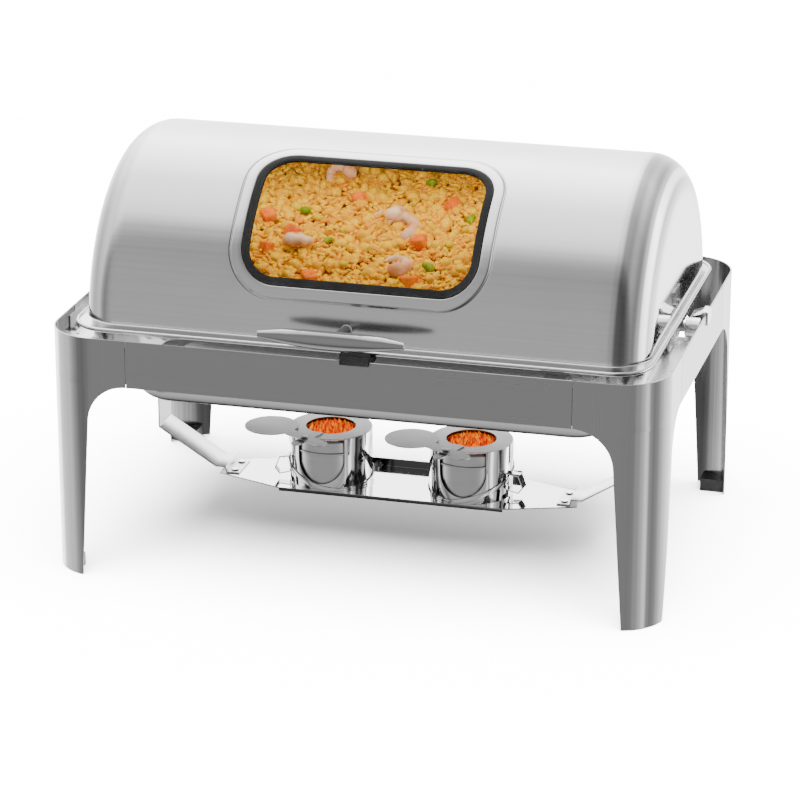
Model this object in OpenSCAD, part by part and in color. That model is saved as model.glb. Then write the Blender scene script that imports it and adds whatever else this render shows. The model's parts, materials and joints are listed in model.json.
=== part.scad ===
/* [Frame] */
// Width of the stand over the legs
frame_w = 640; // [600:1:700]
// Depth of the stand over the legs
frame_d = 432; // [420:1:470]
// Height of the top edge of the stand
frame_h = 260; // [240:1:280]
// Height of the band that joins the legs
band_h = 50; // [40:1:56]
// Outer radius of each rounded corner
corner_r = 50; // [42:1:56]
// Thickness of the stand's sheet steel
sheet_t = 1.5; // [1.2:0.1:2]
// Width of each wing of a leg at the floor
wing_foot = 37; // [30:1:42]
// Width of a leg's front wing where it would meet the band
wing_top_front = 50.5; // [46:0.5:56]
// Width of a leg's side wing where it would meet the band
wing_top_side = 62; // [56:0.5:68]
// Radius of the arch between a leg and the band
arch_r = 41.5; // [34:0.5:46]

/* [Lid] */
// Outer radius of the roll top
lid_r = 176; // [172:0.5:178]
// Height of the roll top's axis, which is also its hinge axis
axis_z = 251; // [250:0.5:252]
// Half of the length of the roll top over its end walls
lid_half = 294; // [293:0.5:295]
// Radius of the rounding between the barrel and the end walls
lid_end_r = 40; // [36:1:44]
// Thickness of the lid's sheet steel
lid_t = 1; // [0.8:0.1:1.2]
// Half of the length of the rim over its bead
rim_half_x = 300; // [299:0.5:300]
// Half of the depth of the rim over its bead
rim_half_y = 197; // [194:0.5:198]
// Height of the underside of the rim
rim_z = 262; // [261.5:0.5:263]
// Radius of the bead rolled round the rim
bead_r = 2.2; // [1.8:0.1:2.4]
// Angle that the lid is rolled back by
lid_open = 0; // [0:1:75]

/* [Window] */
// Place of the window's middle along the lid
window_x = -4; // [-6:1:6]
// Angle of the window's middle above the horizontal, about the lid's axis
window_angle = 46.7; // [44:0.1:49]
// Length of the opening in the lid
window_l = 246; // [220:1:250]
// Height of the opening, measured straight across
window_h = 152; // [140:1:154]
// Corner radius of the opening
window_r = 38; // [30:1:44]
// Width of the rubber seal that shows round the glass
gasket_w = 8; // [6:0.5:10]
// Width of the pressed step round the opening
bezel_w = 11; // [8:0.5:12]

/* [Handle] */
// Length of the handle bar
handle_l = 150; // [120:1:160]
// Place of the handle's middle along the lid
handle_x = -10; // [-16:1:0]
// Distance of the handle's middle from the lid's axis
handle_reach = 234; // [228:1:236]
// Angle of the handle above the horizontal, about the lid's axis
handle_angle = 8.6; // [8:0.1:11]
// Height of the handle bar at its middle
handle_mid_h = 17; // [12:0.5:18]
// Height of the handle bar at its ends
handle_end_h = 7; // [6:0.5:9]
// Depth of the handle bar at its middle
handle_mid_d = 18; // [14:0.5:20]

/* [Pans] */
// Half of the length of the water pan's rim
water_rim_x = 289.5; // [289:0.5:290]
// Half of the depth of the water pan's rim
water_rim_y = 171; // [170.5:0.5:171.5]
// Half of the length of the water pan's well
water_half_x = 257; // [255:0.5:258]
// Half of the depth of the water pan's well
water_half_y = 154; // [152:0.5:156]
// Height of the underside of the water pan
water_z = 168; // [166:1:180]
// Length of a full size food pan over its rim
food_l = 530; // [530:1:530]
// Depth from front to back of a full size food pan over its rim
food_w = 325; // [325:1:325]
// Height of the food pan
food_h = 65; // [60:1:66]
// Thickness of the pans
pan_t = 1; // [0.8:0.1:1.2]

/* [Fuel tray] */
// Height of the tray's top face
tray_z = 50; // [46:1:54]
// Half of the depth of the tray
tray_half_d = 46; // [45.5:0.5:50]
// Half of the length of the tray
tray_half_l = 196; // [192:1:200]
// Half of the length of the tray's straight edges
tray_straight = 122; // [118:1:126]
// Height of the tray's rear lip
tray_lip = 8.6; // [6:0.2:9]
// Width of the straps that carry the tray
strap_w = 40; // [30:1:44]
// Place of the straps' upright part along the stand
strap_x = 264; // [262:0.5:265]
// Height at which a strap bends in towards the tray
strap_bend_z = 95; // [85:1:105]

/* [Fuel burners] */
// Distance of each burner from the middle
burner_x = 77; // [70:1:84]
// Diameter of the fuel cup
cup_d = 89; // [86:0.5:90]
// Height of the fuel cup
cup_h = 57; // [52:1:60]
// Width of the window in the front of the fuel cup
cup_window_w = 50; // [40:1:56]
// Radius of the hole that the flame comes through
flame_r = 26.6; // [24:0.1:28]
// Radius of the damper's disc
damper_r = 28.6; // [28:0.1:30]
// Angle that the dampers are turned by, towards covering the flame
damper_swing = 0; // [0:1:77]
// Distance that the burners are pulled out over the tray's front edge
burner_pull = 0; // [0:5:90]

/* [Hidden] */
$fn = 72;

eps = 0.01;
big = 1000;
left = -1;
right = 1;
front = -1;
rear = 1;

// The origin is under the middle of the whole object, which reaches further
// forward than the stand because of the handle.
handle_front = handle_reach * cos(handle_angle) + handle_mid_d / 2;
centre_y = (handle_front - frame_d / 2) / 2;

// Stand
band_z = frame_h - band_h;
glide_h = 14;
glide_w = 30;
glide_gap = 0.8;
seam_gap = 0.6;
front_lean = atan((wing_top_front - wing_foot) / band_z);
side_lean = atan((wing_top_side - wing_foot) / band_z);
seam_x = frame_w / 2 - wing_top_front - arch_r / tan(45 + front_lean / 2);
seam_y = frame_d / 2 - wing_top_side - arch_r / tan(45 + side_lean / 2);
inner_x = frame_w / 2 - sheet_t;
inner_y = frame_d / 2 - sheet_t;
band_return = 8;
plate_l = 34;
plate_h = 40;
plate_t = 1.2;
stud_r = 2;
stud_l = 5;
nut_r = 4;
nut_h = 3;

// Carrier of the water pan
water_rim_z = 260;
cradle_half_x = 289;
cradle_half_y = 170.5;
cradle_r = 32;
cradle_low = 236;
shelf_in_x = 261;
shelf_half_y = 60;
ledge_t = 1.5;
ledge_front_y = -162;
ledge_rear_y = 8;
ledge_hole_r = 2.2;
bracket_gap = 0.5;
bracket_x = 200;
bracket_w = 24;

// Bumper on the front band
bumper_x = 10;
bumper_w = 30;
bumper_top = 268;
bumper_low = 247;
bumper_front = 3.5;
bumper_pad_h = 6;
bumper_pad_y = 188;
bumper_gap = 0.1;

// Pans
water_corner_r = 46;
water_bottom_r = 30;
water_rim_r = 34;
food_rim_z = water_rim_z + pan_t;
food_well_x = 250;
food_well_y = 148;
food_corner_r = 44;
food_bottom_r = 20;
fill_gap = 0.3;
fill_z = 258;
mound_ridge_y = 110;
mound_ridge_z = 337;
mound_ridge_x = 186;
mound_ridge_r = 22;

// Lid
rim_low = rim_z + lid_t / 2 - bead_r;
bezel_out = 1.2;
gasket_out = 2;
gasket_in = 2.5;
glass_t = 3;
post_r = 6;
post_base_r = 11;
post_base_t = 2;
screw_r = 2.5;
screw_head_r = 5;
screw_head_t = 3;

// Hinge
pin_r = 5;
pin_clearance = 0.05;
pin_head_r = 7.5;
pin_head_t = 3;
ear_x = 293.2;
ear_t = 2;
ear_front = 52;
ear_low = 10;
barrel_r = 10.5;
barrel_x = 302;
barrel_end = 317;
hinge_plate_t = 1.5;
hinge_plate_low = 218;
hinge_plate_front = -26;
hinge_plate_rear = 44;
block_y = 15;
block_l = 26;
block_x = 303;
block_low = 244;
block_top = 257;
clip_y = 18;
clip_l = 20;
clip_t = 1.6;
clip_up = 3.2;
clip_down = 12;

// Fuel tray and straps
tray_t = 1.2;
tray_end_half = 20;
tray_front_lip = 4;
strap_t = 1.5;
strap_foot_x = 201;
strap_foot_z = 6;
strap_tab_x = 190;
strap_end_x = 174;
shelf_rivet_x = 276;
tray_rivet_x = 181;
rivet_half_y = 12;
rivet_r = 2;
rivet_head_r = 4;
rivet_head_t = 1.4;
hole_clearance = 0.05;

// Burners
cup_t = 1;
cup_r = cup_d / 2;
cup_window_low = 7;
can_r = 41.5;
can_top = 53;
can_seam = 39;
can_mouth_r = 29;
can_wall = 0.6;
gel_h = 34;
plate_r = 43.7;
ring_t = 1;
pivot = [-15.5, -48];
disc_rest = [-59.3, -22];
tongue_tip = [-4, -15];
tongue_end = [-19.5, -64];
tongue_w = 11.5;
arm_w = 15;
finger_end = [6, -62];
damper_t = 1;
damper_lift = 0.3;
tongue_z = tray_z + cup_h + ring_t;
damper_z = tongue_z + ring_t + damper_lift;
pivot_r = 2;
pivot_clearance = 0.05;
slot_from = [-31, -28];
slot_to = [-19, -36.5];
slot_w = 2;
grip_w = 11;
grip_t = 1.2;
grip_turn_left = 196;
grip_turn_right = -8;
band_tilt = 13;
cup_band_h = 5;
cup_band_rear = 28;

// ---------------------------------------------------------------- helpers

// Puts the object's own middle over the origin.
module place() {
    translate([0, centre_y, 0]) children();
}

// Places a piece of the lid, which rolls back about its own axis.
module on_lid() {
    place() translate([0, 0, axis_z]) rotate([-lid_open, 0, 0]) translate([0, 0, -axis_z]) children();
}

// Places a piece of a burner, which pulls out to the front.
module on_burner(side) {
    place() translate([side * burner_x, -burner_pull, 0]) children();
}

// Places a burner's damper, which turns about its rivet.
module on_damper(side) {
    on_burner(side) translate(pivot) rotate([0, 0, -damper_swing]) translate(-pivot) children();
}

// Mirrors a shape made for the right and the rear to any of the four corners.
module at_corner(side, end) {
    mirror([side == left ? 1 : 0, 0, 0]) mirror([0, end == front ? 1 : 0, 0]) children();
}

// Mirrors a shape made for the right to either side.
module at_side(side) {
    mirror([side == left ? 1 : 0, 0, 0]) children();
}

// Turns -Y outwards to an angle above the horizontal, about the lid's axis.
module at_lid_angle(angle) {
    translate([0, 0, axis_z]) rotate([-angle, 0, 0]) children();
}

// A rectangle with rounded corners, centred.
module rounded(half_x, half_y, r) {
    square([2 * (half_x - r), 2 * half_y], center = true);
    square([2 * half_x, 2 * (half_y - r)], center = true);
    for (i = [-1, 1], j = [-1, 1])
        translate([i * (half_x - r), j * (half_y - r)]) circle(r);
}

// A quarter of the outline that a rounded lower corner of a pan turns through.
module pan_corner_profile(corner, bottom) {
    intersection() {
        square([corner, big]);
        union() {
            translate([corner - bottom, bottom]) circle(bottom);
            square([corner - bottom, big]);
            translate([0, bottom]) square([corner, big]);
        }
    }
}

// A solid block with rounded upright corners and a rounded lower edge.
module pan_block(half_x, half_y, h, corner, bottom) {
    cx = half_x - corner;
    cy = half_y - corner;
    intersection() {
        translate([-big / 2, -big / 2, 0]) cube([big, big, h]);
        union() {
            for (i = [-1, 1], j = [-1, 1])
                translate([i * cx, j * cy, 0]) rotate_extrude() pan_corner_profile(corner, bottom);
            rotate([90, 0, 90]) linear_extrude(2 * cx, center = true) pan_section(half_y, h, bottom);
            rotate([90, 0, 0]) linear_extrude(2 * cy, center = true) pan_section(half_x, h, bottom);
        }
    }
}

// The section of a pan between its corners.
module pan_section(half, h, bottom) {
    translate([-half, bottom]) square([2 * half, h - bottom]);
    translate([-half + bottom, 0]) square([2 * (half - bottom), bottom + eps]);
    for (i = [-1, 1])
        translate([i * (half - bottom), bottom]) circle(bottom);
}

// A bar that follows a rounded rectangle.
module bead(half_x, half_y, corner, r) {
    cx = half_x - corner;
    cy = half_y - corner;
    for (i = [-1, 1]) {
        translate([-cx, i * half_y, 0]) rotate([0, 90, 0]) cylinder(r = r, h = 2 * cx);
        translate([i * half_x, cy, 0]) rotate([90, 0, 0]) cylinder(r = r, h = 2 * cy);
    }
    for (i = [0, 1], j = [0, 1])
        mirror([i, 0, 0]) mirror([0, j, 0]) translate([cx, cy, 0])
            rotate_extrude(angle = 90) translate([corner, 0]) circle(r);
}

function unit(v) = v / norm(v);
function normal(a, b) = [-unit(b - a)[1], unit(b - a)[0]];
function miter(p, i, t) =
    let (last = len(p) - 1,
         before = normal(p[max(i - 1, 0)], p[max(i, 1)]),
         after = normal(p[min(i, last - 1)], p[min(i + 1, last)]),
         middle = unit(before + after))
    p[i] + middle * t / (middle * after);

// A bent strip of sheet, with its path on one face and its thickness to the left.
module strip(path, t) {
    polygon(concat(path, [for (i = [len(path) - 1 : -1 : 0]) miter(path, i, t)]));
}

// A flat bar with square ends between two points.
module bar(a, b, w) {
    along = unit(b - a);
    across = [-along[1], along[0]] * w / 2;
    polygon([a + across, a - across, b - across, b + across]);
}

// A flat bar with round ends between two points.
module link(a, b, w) {
    bar(a, b, w);
    translate(a) circle(w / 2);
    translate(b) circle(w / 2);
}

// ---------------------------------------------------------------- stand

// The wall of the stand, all round.
module stand_wall(low, high) {
    translate([0, 0, low]) linear_extrude(high - low) difference() {
        rounded(frame_w / 2, frame_d / 2, corner_r);
        rounded(inner_x, inner_y, corner_r - sheet_t);
    }
}

// The open space beside a leg: its edge leans, and an arch joins it to the band.
module arch_space(foot, top, lean) {
    t = arch_r / tan(45 + lean / 2);
    difference() {
        polygon([[-1, -1], [foot, -1], [foot, 0], [top, band_z], [-1, band_z]]);
        difference() {
            polygon([
                [top, band_z],
                [top - t, band_z],
                [top - t, band_z - arch_r],
                [top + t * sin(lean), band_z - t * cos(lean)]
            ]);
            translate([top - t, band_z - arch_r]) circle(arch_r);
        }
    }
}

module leg(side, end) {
    color("gainsboro") at_corner(side, end) difference() {
        intersection() {
            stand_wall(glide_gap, frame_h);
            translate([seam_x, seam_y, 0]) cube([big, big, big]);
        }
        translate([0, big / 2, 0]) rotate([90, 0, 0]) linear_extrude(big)
            arch_space(frame_w / 2 - wing_foot, frame_w / 2 - wing_top_front, front_lean);
        rotate([90, 0, 90]) linear_extrude(big)
            arch_space(frame_d / 2 - wing_foot, frame_d / 2 - wing_top_side, side_lean);
    }
}

// A flat panel between two legs, with a return along its lower edge.
module band(half, face) {
    translate([-half, face - sheet_t, band_z]) cube([2 * half, sheet_t, band_h]);
    translate([-half, face - band_return, band_z]) cube([2 * half, band_return - sheet_t + eps, sheet_t]);
}

module long_band(end) {
    color("darkgray") at_corner(right, end) band(seam_x - seam_gap, frame_d / 2);
}

module side_band(side) {
    color("gainsboro") at_side(side) rotate([0, 0, -90]) band(seam_y - seam_gap, frame_w / 2);
}

// A plastic glide that fills the inside of a leg's foot.
module glide(side, end) {
    color("dimgray") at_corner(side, end) linear_extrude(glide_h) intersection() {
        rounded(inner_x, inner_y, corner_r - sheet_t);
        translate([frame_w / 2 - glide_w, frame_d / 2 - glide_w]) square(big);
    }
}

// One backing plate per seam, behind the sheet.
module at_seams(drop) {
    for (side = [left, right], end = [front, rear]) at_corner(side, end) {
        translate([seam_x, inner_y - drop, 0]) children();
        translate([inner_x - drop, seam_y, 0]) rotate([0, 0, -90]) children();
    }
}

module seam_plates() {
    color("silver") at_seams(0)
        translate([-plate_l / 2, -plate_t, band_z + sheet_t + 2]) cube([plate_l, plate_t, plate_h]);
}

module seam_nuts() {
    color("darkgray") at_seams(plate_t)
        for (i = [-1, 1]) translate([i * plate_l / 4, 0, band_z + band_h / 2]) rotate([90, 0, 0]) {
            cylinder(r = stud_r, h = stud_l);
            cylinder(r = nut_r, h = nut_h, $fn = 6);
        }
}

// ---------------------------------------------------------------- pan carrier

module shelf_holes(r) {
    for (i = [-1, 1])
        translate([shelf_rivet_x, i * rivet_half_y, cradle_low - big / 2]) cylinder(r = r, h = big);
}

module pan_cradle() {
    color("lightgray") {
        translate([0, 0, cradle_low]) linear_extrude(water_rim_z - cradle_low) difference() {
            rounded(cradle_half_x, cradle_half_y, cradle_r);
            rounded(cradle_half_x - ledge_t, cradle_half_y - ledge_t, cradle_r - ledge_t);
        }
        for (side = [left, right]) at_side(side) difference() {
            translate([shelf_in_x, -shelf_half_y, cradle_low])
                cube([cradle_half_x - ledge_t / 2 - shelf_in_x, 2 * shelf_half_y, ledge_t]);
            shelf_holes(rivet_r + hole_clearance);
        }
    }
}

// A ledge from the pan carrier to the side band, in front of the hinge only,
// because the rim passes down through the space behind it.
module side_ledge(side) {
    gap = inner_x - cradle_half_x;
    color("whitesmoke") at_side(side) difference() {
        translate([cradle_half_x, ledge_front_y, cradle_low])
            cube([gap, ledge_rear_y - ledge_front_y, ledge_t]);
        for (y = [ledge_front_y + 20, ledge_front_y + 62])
            translate([cradle_half_x + gap * 0.62, y, cradle_low - 1])
                cylinder(r = ledge_hole_r, h = ledge_t + 2);
        translate([barrel_end - bracket_gap, hinge_plate_front - bracket_gap, 0]) cube(big);
        translate([inner_x - plate_t - stud_l - bracket_gap, -seam_y - plate_l / 2 - bracket_gap, 0])
            cube([big, plate_l + 2 * bracket_gap, big]);
    }
}

// Two angle brackets from the pan carrier to the front band.
module front_brackets() {
    gap = inner_y - cradle_half_y;
    color("silver") for (side = [left, right]) at_side(side)
        translate([bracket_x - bracket_w / 2, -inner_y, cradle_low]) {
            cube([bracket_w, gap, ledge_t]);
            cube([bracket_w, ledge_t, water_rim_z - cradle_low - 2]);
        }
}

// A rubber clip on the front band, with a pad that the rim rests on.
module front_bumper() {
    outer = frame_d / 2 + bumper_front;
    color("black") difference() {
        union() {
            translate([bumper_x - bumper_w / 2, -outer, bumper_low])
                cube([bumper_w, outer - inner_y + bumper_front, bumper_top - bumper_low]);
            translate([bumper_x - bumper_w / 2, -inner_y - eps, rim_low - bumper_gap - bumper_pad_h])
                cube([bumper_w, inner_y - bumper_pad_y, bumper_pad_h]);
        }
        translate([-big / 2, -frame_d / 2, 0]) cube([big, sheet_t, frame_h]);
    }
}

module water_pan() {
    well_h = water_rim_z + pan_t - water_z;
    color("lightgray") difference() {
        union() {
            translate([0, 0, water_z])
                pan_block(water_half_x, water_half_y, well_h, water_corner_r, water_bottom_r);
            translate([0, 0, water_rim_z]) linear_extrude(pan_t)
                rounded(water_rim_x, water_rim_y, water_rim_r);
        }
        translate([0, 0, water_z + pan_t])
            pan_block(water_half_x - pan_t, water_half_y - pan_t, well_h,
                      water_corner_r - pan_t, water_bottom_r - pan_t);
    }
}

module food_pan() {
    color("silver") difference() {
        union() {
            translate([0, 0, food_rim_z + pan_t - food_h])
                pan_block(food_well_x, food_well_y, food_h, food_corner_r, food_bottom_r);
            translate([0, 0, food_rim_z]) linear_extrude(pan_t)
                rounded(food_l / 2, food_w / 2, food_corner_r + 6);
        }
        translate([0, 0, food_rim_z + 2 * pan_t - food_h])
            pan_block(food_well_x - pan_t, food_well_y - pan_t, food_h,
                      food_corner_r - pan_t, food_bottom_r - pan_t);
    }
}

// The food: it fills the pan and is heaped up towards the rear.
module food_fill() {
    low = food_rim_z + 2 * pan_t - food_h + fill_gap;
    skin = pan_t + fill_gap;
    color("gold") {
        translate([0, 0, low])
            pan_block(food_well_x - skin, food_well_y - skin, fill_z - low,
                      food_corner_r - skin, food_bottom_r - skin);
        hull() {
            translate([0, 0, fill_z - 2]) linear_extrude(1)
                rounded(food_well_x - 14, food_well_y - 8, 30, $fn = 32);
            for (i = [-1, 1])
                translate([i * mound_ridge_x, mound_ridge_y, mound_ridge_z])
                    sphere(mound_ridge_r, $fn = 24);
        }
    }
}

// ---------------------------------------------------------------- lid

// The whole body of revolution that the roll top is a part of.
module lid_body(shrink) {
    half = lid_half - shrink;
    r = lid_r - shrink;
    end = lid_end_r - shrink;
    translate([0, 0, axis_z]) rotate([0, 90, 0]) rotate_extrude() {
        translate([0, -half]) square([r - end, 2 * half]);
        translate([0, -half + end]) square([r, 2 * (half - end)]);
        for (i = [-1, 1]) translate([r - end, i * (half - end)]) circle(end);
    }
}

// A prism through the lid, square to the window.
module window_prism(grow) {
    at_lid_angle(window_angle) translate([window_x, -lid_r / 2, 0]) rotate([90, 0, 0])
        linear_extrude(lid_r)
            rounded(window_l / 2 + grow, window_h / 2 + grow, window_r + grow);
}

// The part of a curved shell between two radii.
module barrel_shell(inner, outer) {
    translate([-lid_half / 2 + window_x, 0, axis_z]) rotate([0, 90, 0]) difference() {
        cylinder(r = outer, h = lid_half);
        translate([0, 0, -1]) cylinder(r = inner, h = lid_half + 2);
    }
}

module lid_shell() {
    color("silver") difference() {
        union() {
            difference() {
                lid_body(0);
                translate([-big / 2, -big / 2, rim_z - big]) cube([big, big, big]);
            }
            translate([0, 0, rim_z]) linear_extrude(lid_t)
                rounded(rim_half_x - bead_r, rim_half_y - bead_r, lid_end_r - bead_r);
            translate([0, 0, rim_z + lid_t / 2])
                bead(rim_half_x - bead_r, rim_half_y - bead_r, lid_end_r - bead_r, bead_r);
        }
        lid_body(lid_t);
        window_prism(0);
        at_lid_angle(handle_angle) translate([handle_x, 0, 0]) rotate([90, 0, 0])
            cylinder(r = screw_r + hole_clearance, h = big);
    }
}

module window_bezel() {
    color("lightgray") difference() {
        intersection() {
            barrel_shell(lid_r, lid_r + bezel_out);
            window_prism(bezel_w);
        }
        window_prism(0);
    }
}

module window_gasket() {
    color("dimgray") difference() {
        intersection() {
            barrel_shell(lid_r - gasket_in, lid_r + gasket_out);
            window_prism(0);
        }
        window_prism(-gasket_w);
    }
}

module window_glass() {
    color("lightcyan", 0.35) intersection() {
        barrel_shell(lid_r - glass_t, lid_r);
        window_prism(-gasket_w);
    }
}

// A bar that is thickest in the middle, with a flat top.
module handle_bar() {
    swell = (handle_mid_h - handle_end_h) / 2;
    half = handle_l / 2;
    arc_r = (half * half + swell * swell) / (2 * swell);
    flat = handle_mid_h / 2 - 2.5;
    translate([handle_x, -handle_reach, 0]) intersection() {
        rotate([0, 90, 0]) rotate_extrude() intersection() {
            translate([0, -half]) square([handle_mid_d / 2, handle_l]);
            translate([handle_mid_d / 2 - arc_r, 0]) circle(arc_r, $fn = 360);
        }
        translate([-half, -handle_mid_d / 2, -handle_mid_h / 2])
            cube([handle_l, handle_mid_d, handle_mid_h / 2 + flat]);
    }
}

module lid_handle() {
    color("silver") at_lid_angle(handle_angle) handle_bar();
}

// The post between the lid and the bar, with an end that is cut to the bar.
module handle_post() {
    color("silver") at_lid_angle(handle_angle) difference() {
        translate([handle_x, 0, 0]) rotate([90, 0, 0]) {
            cylinder(r = post_r, h = handle_reach - post_r);
            cylinder(r = post_base_r, h = lid_r + post_base_t);
        }
        handle_bar();
        rotate([0, 90, 0]) translate([0, 0, -big / 2]) cylinder(r = lid_r, h = big, $fn = 360);
        translate([handle_x, 0, 0]) rotate([90, 0, 0]) cylinder(r = screw_r, h = lid_r + 12);
    }
}

// The screw that holds the handle, put in from inside the lid.
module handle_screw() {
    seat = lid_r - lid_t - 0.6;
    color("dimgray") at_lid_angle(handle_angle) translate([handle_x, 0, 0]) rotate([90, 0, 0]) {
        translate([0, 0, seat - screw_head_t]) cylinder(r = screw_head_r, h = screw_head_t);
        translate([0, 0, seat - eps]) cylinder(r = screw_r - hole_clearance, h = 12);
    }
}

// ---------------------------------------------------------------- hinge

// An arm that hangs from the rim and carries the hinge pin.
module lid_ear(side) {
    color("silver") at_side(side) difference() {
        translate([ear_x, 0, 0]) rotate([90, 0, 90]) linear_extrude(ear_t) {
            translate([-ear_front, axis_z - ear_low]) square([ear_front, rim_z - axis_z + ear_low]);
            translate([0, axis_z]) circle(ear_low);
            translate([0, axis_z]) square([ear_low, rim_z - axis_z]);
        }
        translate([0, 0, axis_z]) rotate([0, 90, 0]) cylinder(r = pin_r - pin_clearance, h = big);
    }
}

module hinge_pin(side) {
    color("gray") at_side(side) translate([0, 0, axis_z]) rotate([0, 90, 0]) {
        translate([0, 0, ear_x - pin_head_t]) cylinder(r = pin_head_r, h = pin_head_t);
        translate([0, 0, ear_x - eps]) cylinder(r = pin_r - pin_clearance, h = barrel_end - ear_x - 1.5);
    }
}

module hinge_barrel(side) {
    color("whitesmoke") at_side(side) translate([0, 0, axis_z]) rotate([0, 90, 0]) difference() {
        translate([0, 0, barrel_x]) cylinder(r = barrel_r, h = barrel_end - barrel_x);
        translate([0, 0, barrel_x - 1]) cylinder(r = pin_r, h = barrel_end - barrel_x);
    }
}

// A plate on the inside of the side band, with a stop block behind the barrel.
module hinge_bracket(side) {
    color("dimgray") at_side(side) {
        translate([barrel_end, hinge_plate_front, hinge_plate_low])
            cube([hinge_plate_t, hinge_plate_rear - hinge_plate_front, block_top - hinge_plate_low]);
        translate([block_x, block_y, block_low])
            cube([barrel_end - block_x + eps, block_l, block_top - block_low]);
    }
}

// A spring clip that hooks the bracket over the top edge of the side band.
module band_clip(side) {
    top = frame_h + clip_up;
    color("gray") at_side(side) translate([0, clip_y + clip_l, 0]) rotate([90, 0, 0])
        linear_extrude(clip_l) strip([
            [frame_w / 2 + 0.2, frame_h - clip_down],
            [frame_w / 2 + 0.2, frame_h + 1],
            [frame_w / 2 - 1.5, top - clip_t],
            [inner_x - 2.5, top - clip_t],
            [inner_x - 4, frame_h + 0.2],
            [block_x + 3, block_top]
        ], -clip_t);
}

// ---------------------------------------------------------------- fuel tray

module tray_outline(half_d) {
    polygon([for (i = [1, -1], j = [0 : 3])
        let (x = [tray_half_l, tray_straight, -tray_straight, -tray_half_l][j],
             y = [tray_end_half, half_d, half_d, tray_end_half][j])
        [i * x, i * y]]);
}

module tray_holes(r) {
    for (side = [left, right], i = [-1, 1])
        translate([side * tray_rivet_x, i * rivet_half_y, tray_z - big / 2]) cylinder(r = r, h = big);
}

module fuel_tray() {
    color("whitesmoke") difference() {
        union() {
            translate([0, 0, tray_z - tray_t]) linear_extrude(tray_t) tray_outline(tray_half_d);
            translate([-tray_straight, tray_half_d - tray_t, tray_z - eps])
                cube([2 * tray_straight, tray_t, tray_lip]);
            translate([-tray_straight, -tray_half_d, tray_z - tray_front_lip])
                cube([2 * tray_straight, tray_t, tray_front_lip]);
        }
        tray_holes(rivet_r + hole_clearance);
    }
}

module tray_strap(side) {
    color("whitesmoke") difference() {
        at_side(side) translate([0, strap_w / 2, 0]) rotate([90, 0, 0]) linear_extrude(strap_w) strip([
            [cradle_half_x - ledge_t - 1, cradle_low - strap_t],
            [strap_x, cradle_low - strap_t],
            [strap_x, strap_bend_z],
            [strap_foot_x, tray_z + strap_foot_z],
            [strap_tab_x, tray_z + strap_foot_z],
            [strap_tab_x - 1.5, tray_z],
            [strap_end_x, tray_z]
        ], -strap_t);
        at_side(side) shelf_holes(rivet_r + hole_clearance);
        tray_holes(rivet_r + hole_clearance);
    }
}

// A rivet through a stack that starts at z and is thick deep.
module rivet(z, thick) {
    translate([0, 0, z - rivet_head_t]) cylinder(r = rivet_head_r, h = rivet_head_t);
    translate([0, 0, z - eps]) cylinder(r = rivet_r, h = thick + 2 * eps);
    translate([0, 0, z + thick]) cylinder(r = rivet_head_r, h = rivet_head_t);
}

module strap_rivets() {
    color("gray") for (side = [left, right], i = [-1, 1]) {
        translate([side * shelf_rivet_x, i * rivet_half_y, 0])
            rivet(cradle_low - strap_t, strap_t + ledge_t);
        translate([side * tray_rivet_x, i * rivet_half_y, 0])
            rivet(tray_z - tray_t, tray_t + strap_t);
    }
}

// ---------------------------------------------------------------- burners

// The window in the front of a cup: round below, open up to the ring plate.
module cup_window() {
    r = cup_window_w / 2;
    low = tray_z + cup_window_low;
    rotate([90, 0, 0]) linear_extrude(big) {
        translate([0, low + r]) circle(r);
        translate([-r, low + r]) square([cup_window_w, cup_h]);
    }
}

module fuel_cup() {
    color("gainsboro") difference() {
        translate([0, 0, tray_z]) cylinder(r = cup_r, h = cup_h);
        translate([0, 0, tray_z + cup_t]) cylinder(r = cup_r - cup_t, h = cup_h);
        cup_window();
    }
}

module fuel_can() {
    low = tray_z + cup_t;
    color("silver") difference() {
        union() {
            translate([0, 0, low]) cylinder(r = can_r, h = can_seam);
            translate([0, 0, low]) cylinder(r = can_r - 1.5, h = can_top);
        }
        translate([0, 0, low + can_wall]) cylinder(r = can_r - 1.5 - can_wall, h = can_top - 2 * can_wall);
        translate([0, 0, low + can_wall]) cylinder(r = can_mouth_r, h = can_top);
    }
}

module fuel_gel() {
    color("orangered") translate([0, 0, tray_z + cup_t + can_wall])
        cylinder(r = can_r - 1.5 - can_wall - 0.05, h = gel_h);
}

// The ring on top of a cup, with the tongue that carries the damper's pivot.
module ring_plate() {
    color("silver") difference() {
        union() {
            translate([0, 0, tray_z + cup_h]) linear_extrude(ring_t) {
                circle(plate_r);
                link(pivot * 0.7, pivot, arm_w);
            }
            translate([0, 0, tongue_z - eps]) linear_extrude(ring_t)
                link(tongue_tip * 1.6, tongue_end, tongue_w);
        }
        translate([0, 0, tray_z]) cylinder(r = flame_r, h = big);
        translate([pivot[0], pivot[1], tray_z]) cylinder(r = pivot_r, h = big);
    }
}

// The damper: a disc on an arm, with a finger tab beyond the pivot.
module damper() {
    color("darkgray") translate([0, 0, damper_z]) linear_extrude(damper_t)
        difference() {
            union() {
                translate(disc_rest) circle(damper_r);
                bar(pivot, disc_rest, arm_w);
                bar(pivot, finger_end, arm_w);
                translate(pivot) circle(arm_w / 2 + 0.5);
                translate(finger_end) circle(arm_w / 2);
            }
            translate(pivot) circle(pivot_r + pivot_clearance);
            bar(slot_from, slot_to, slot_w);
        }
}

module damper_rivet() {
    low = tray_z + cup_h;
    top = damper_z + damper_t + damper_lift;
    color("gray") translate([pivot[0], pivot[1], 0]) {
        translate([0, 0, low - rivet_head_t]) cylinder(r = rivet_head_r, h = rivet_head_t);
        translate([0, 0, low - eps]) cylinder(r = pivot_r, h = top - low + 2 * eps);
        translate([0, 0, top]) cylinder(r = rivet_head_r, h = rivet_head_t);
    }
}

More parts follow.
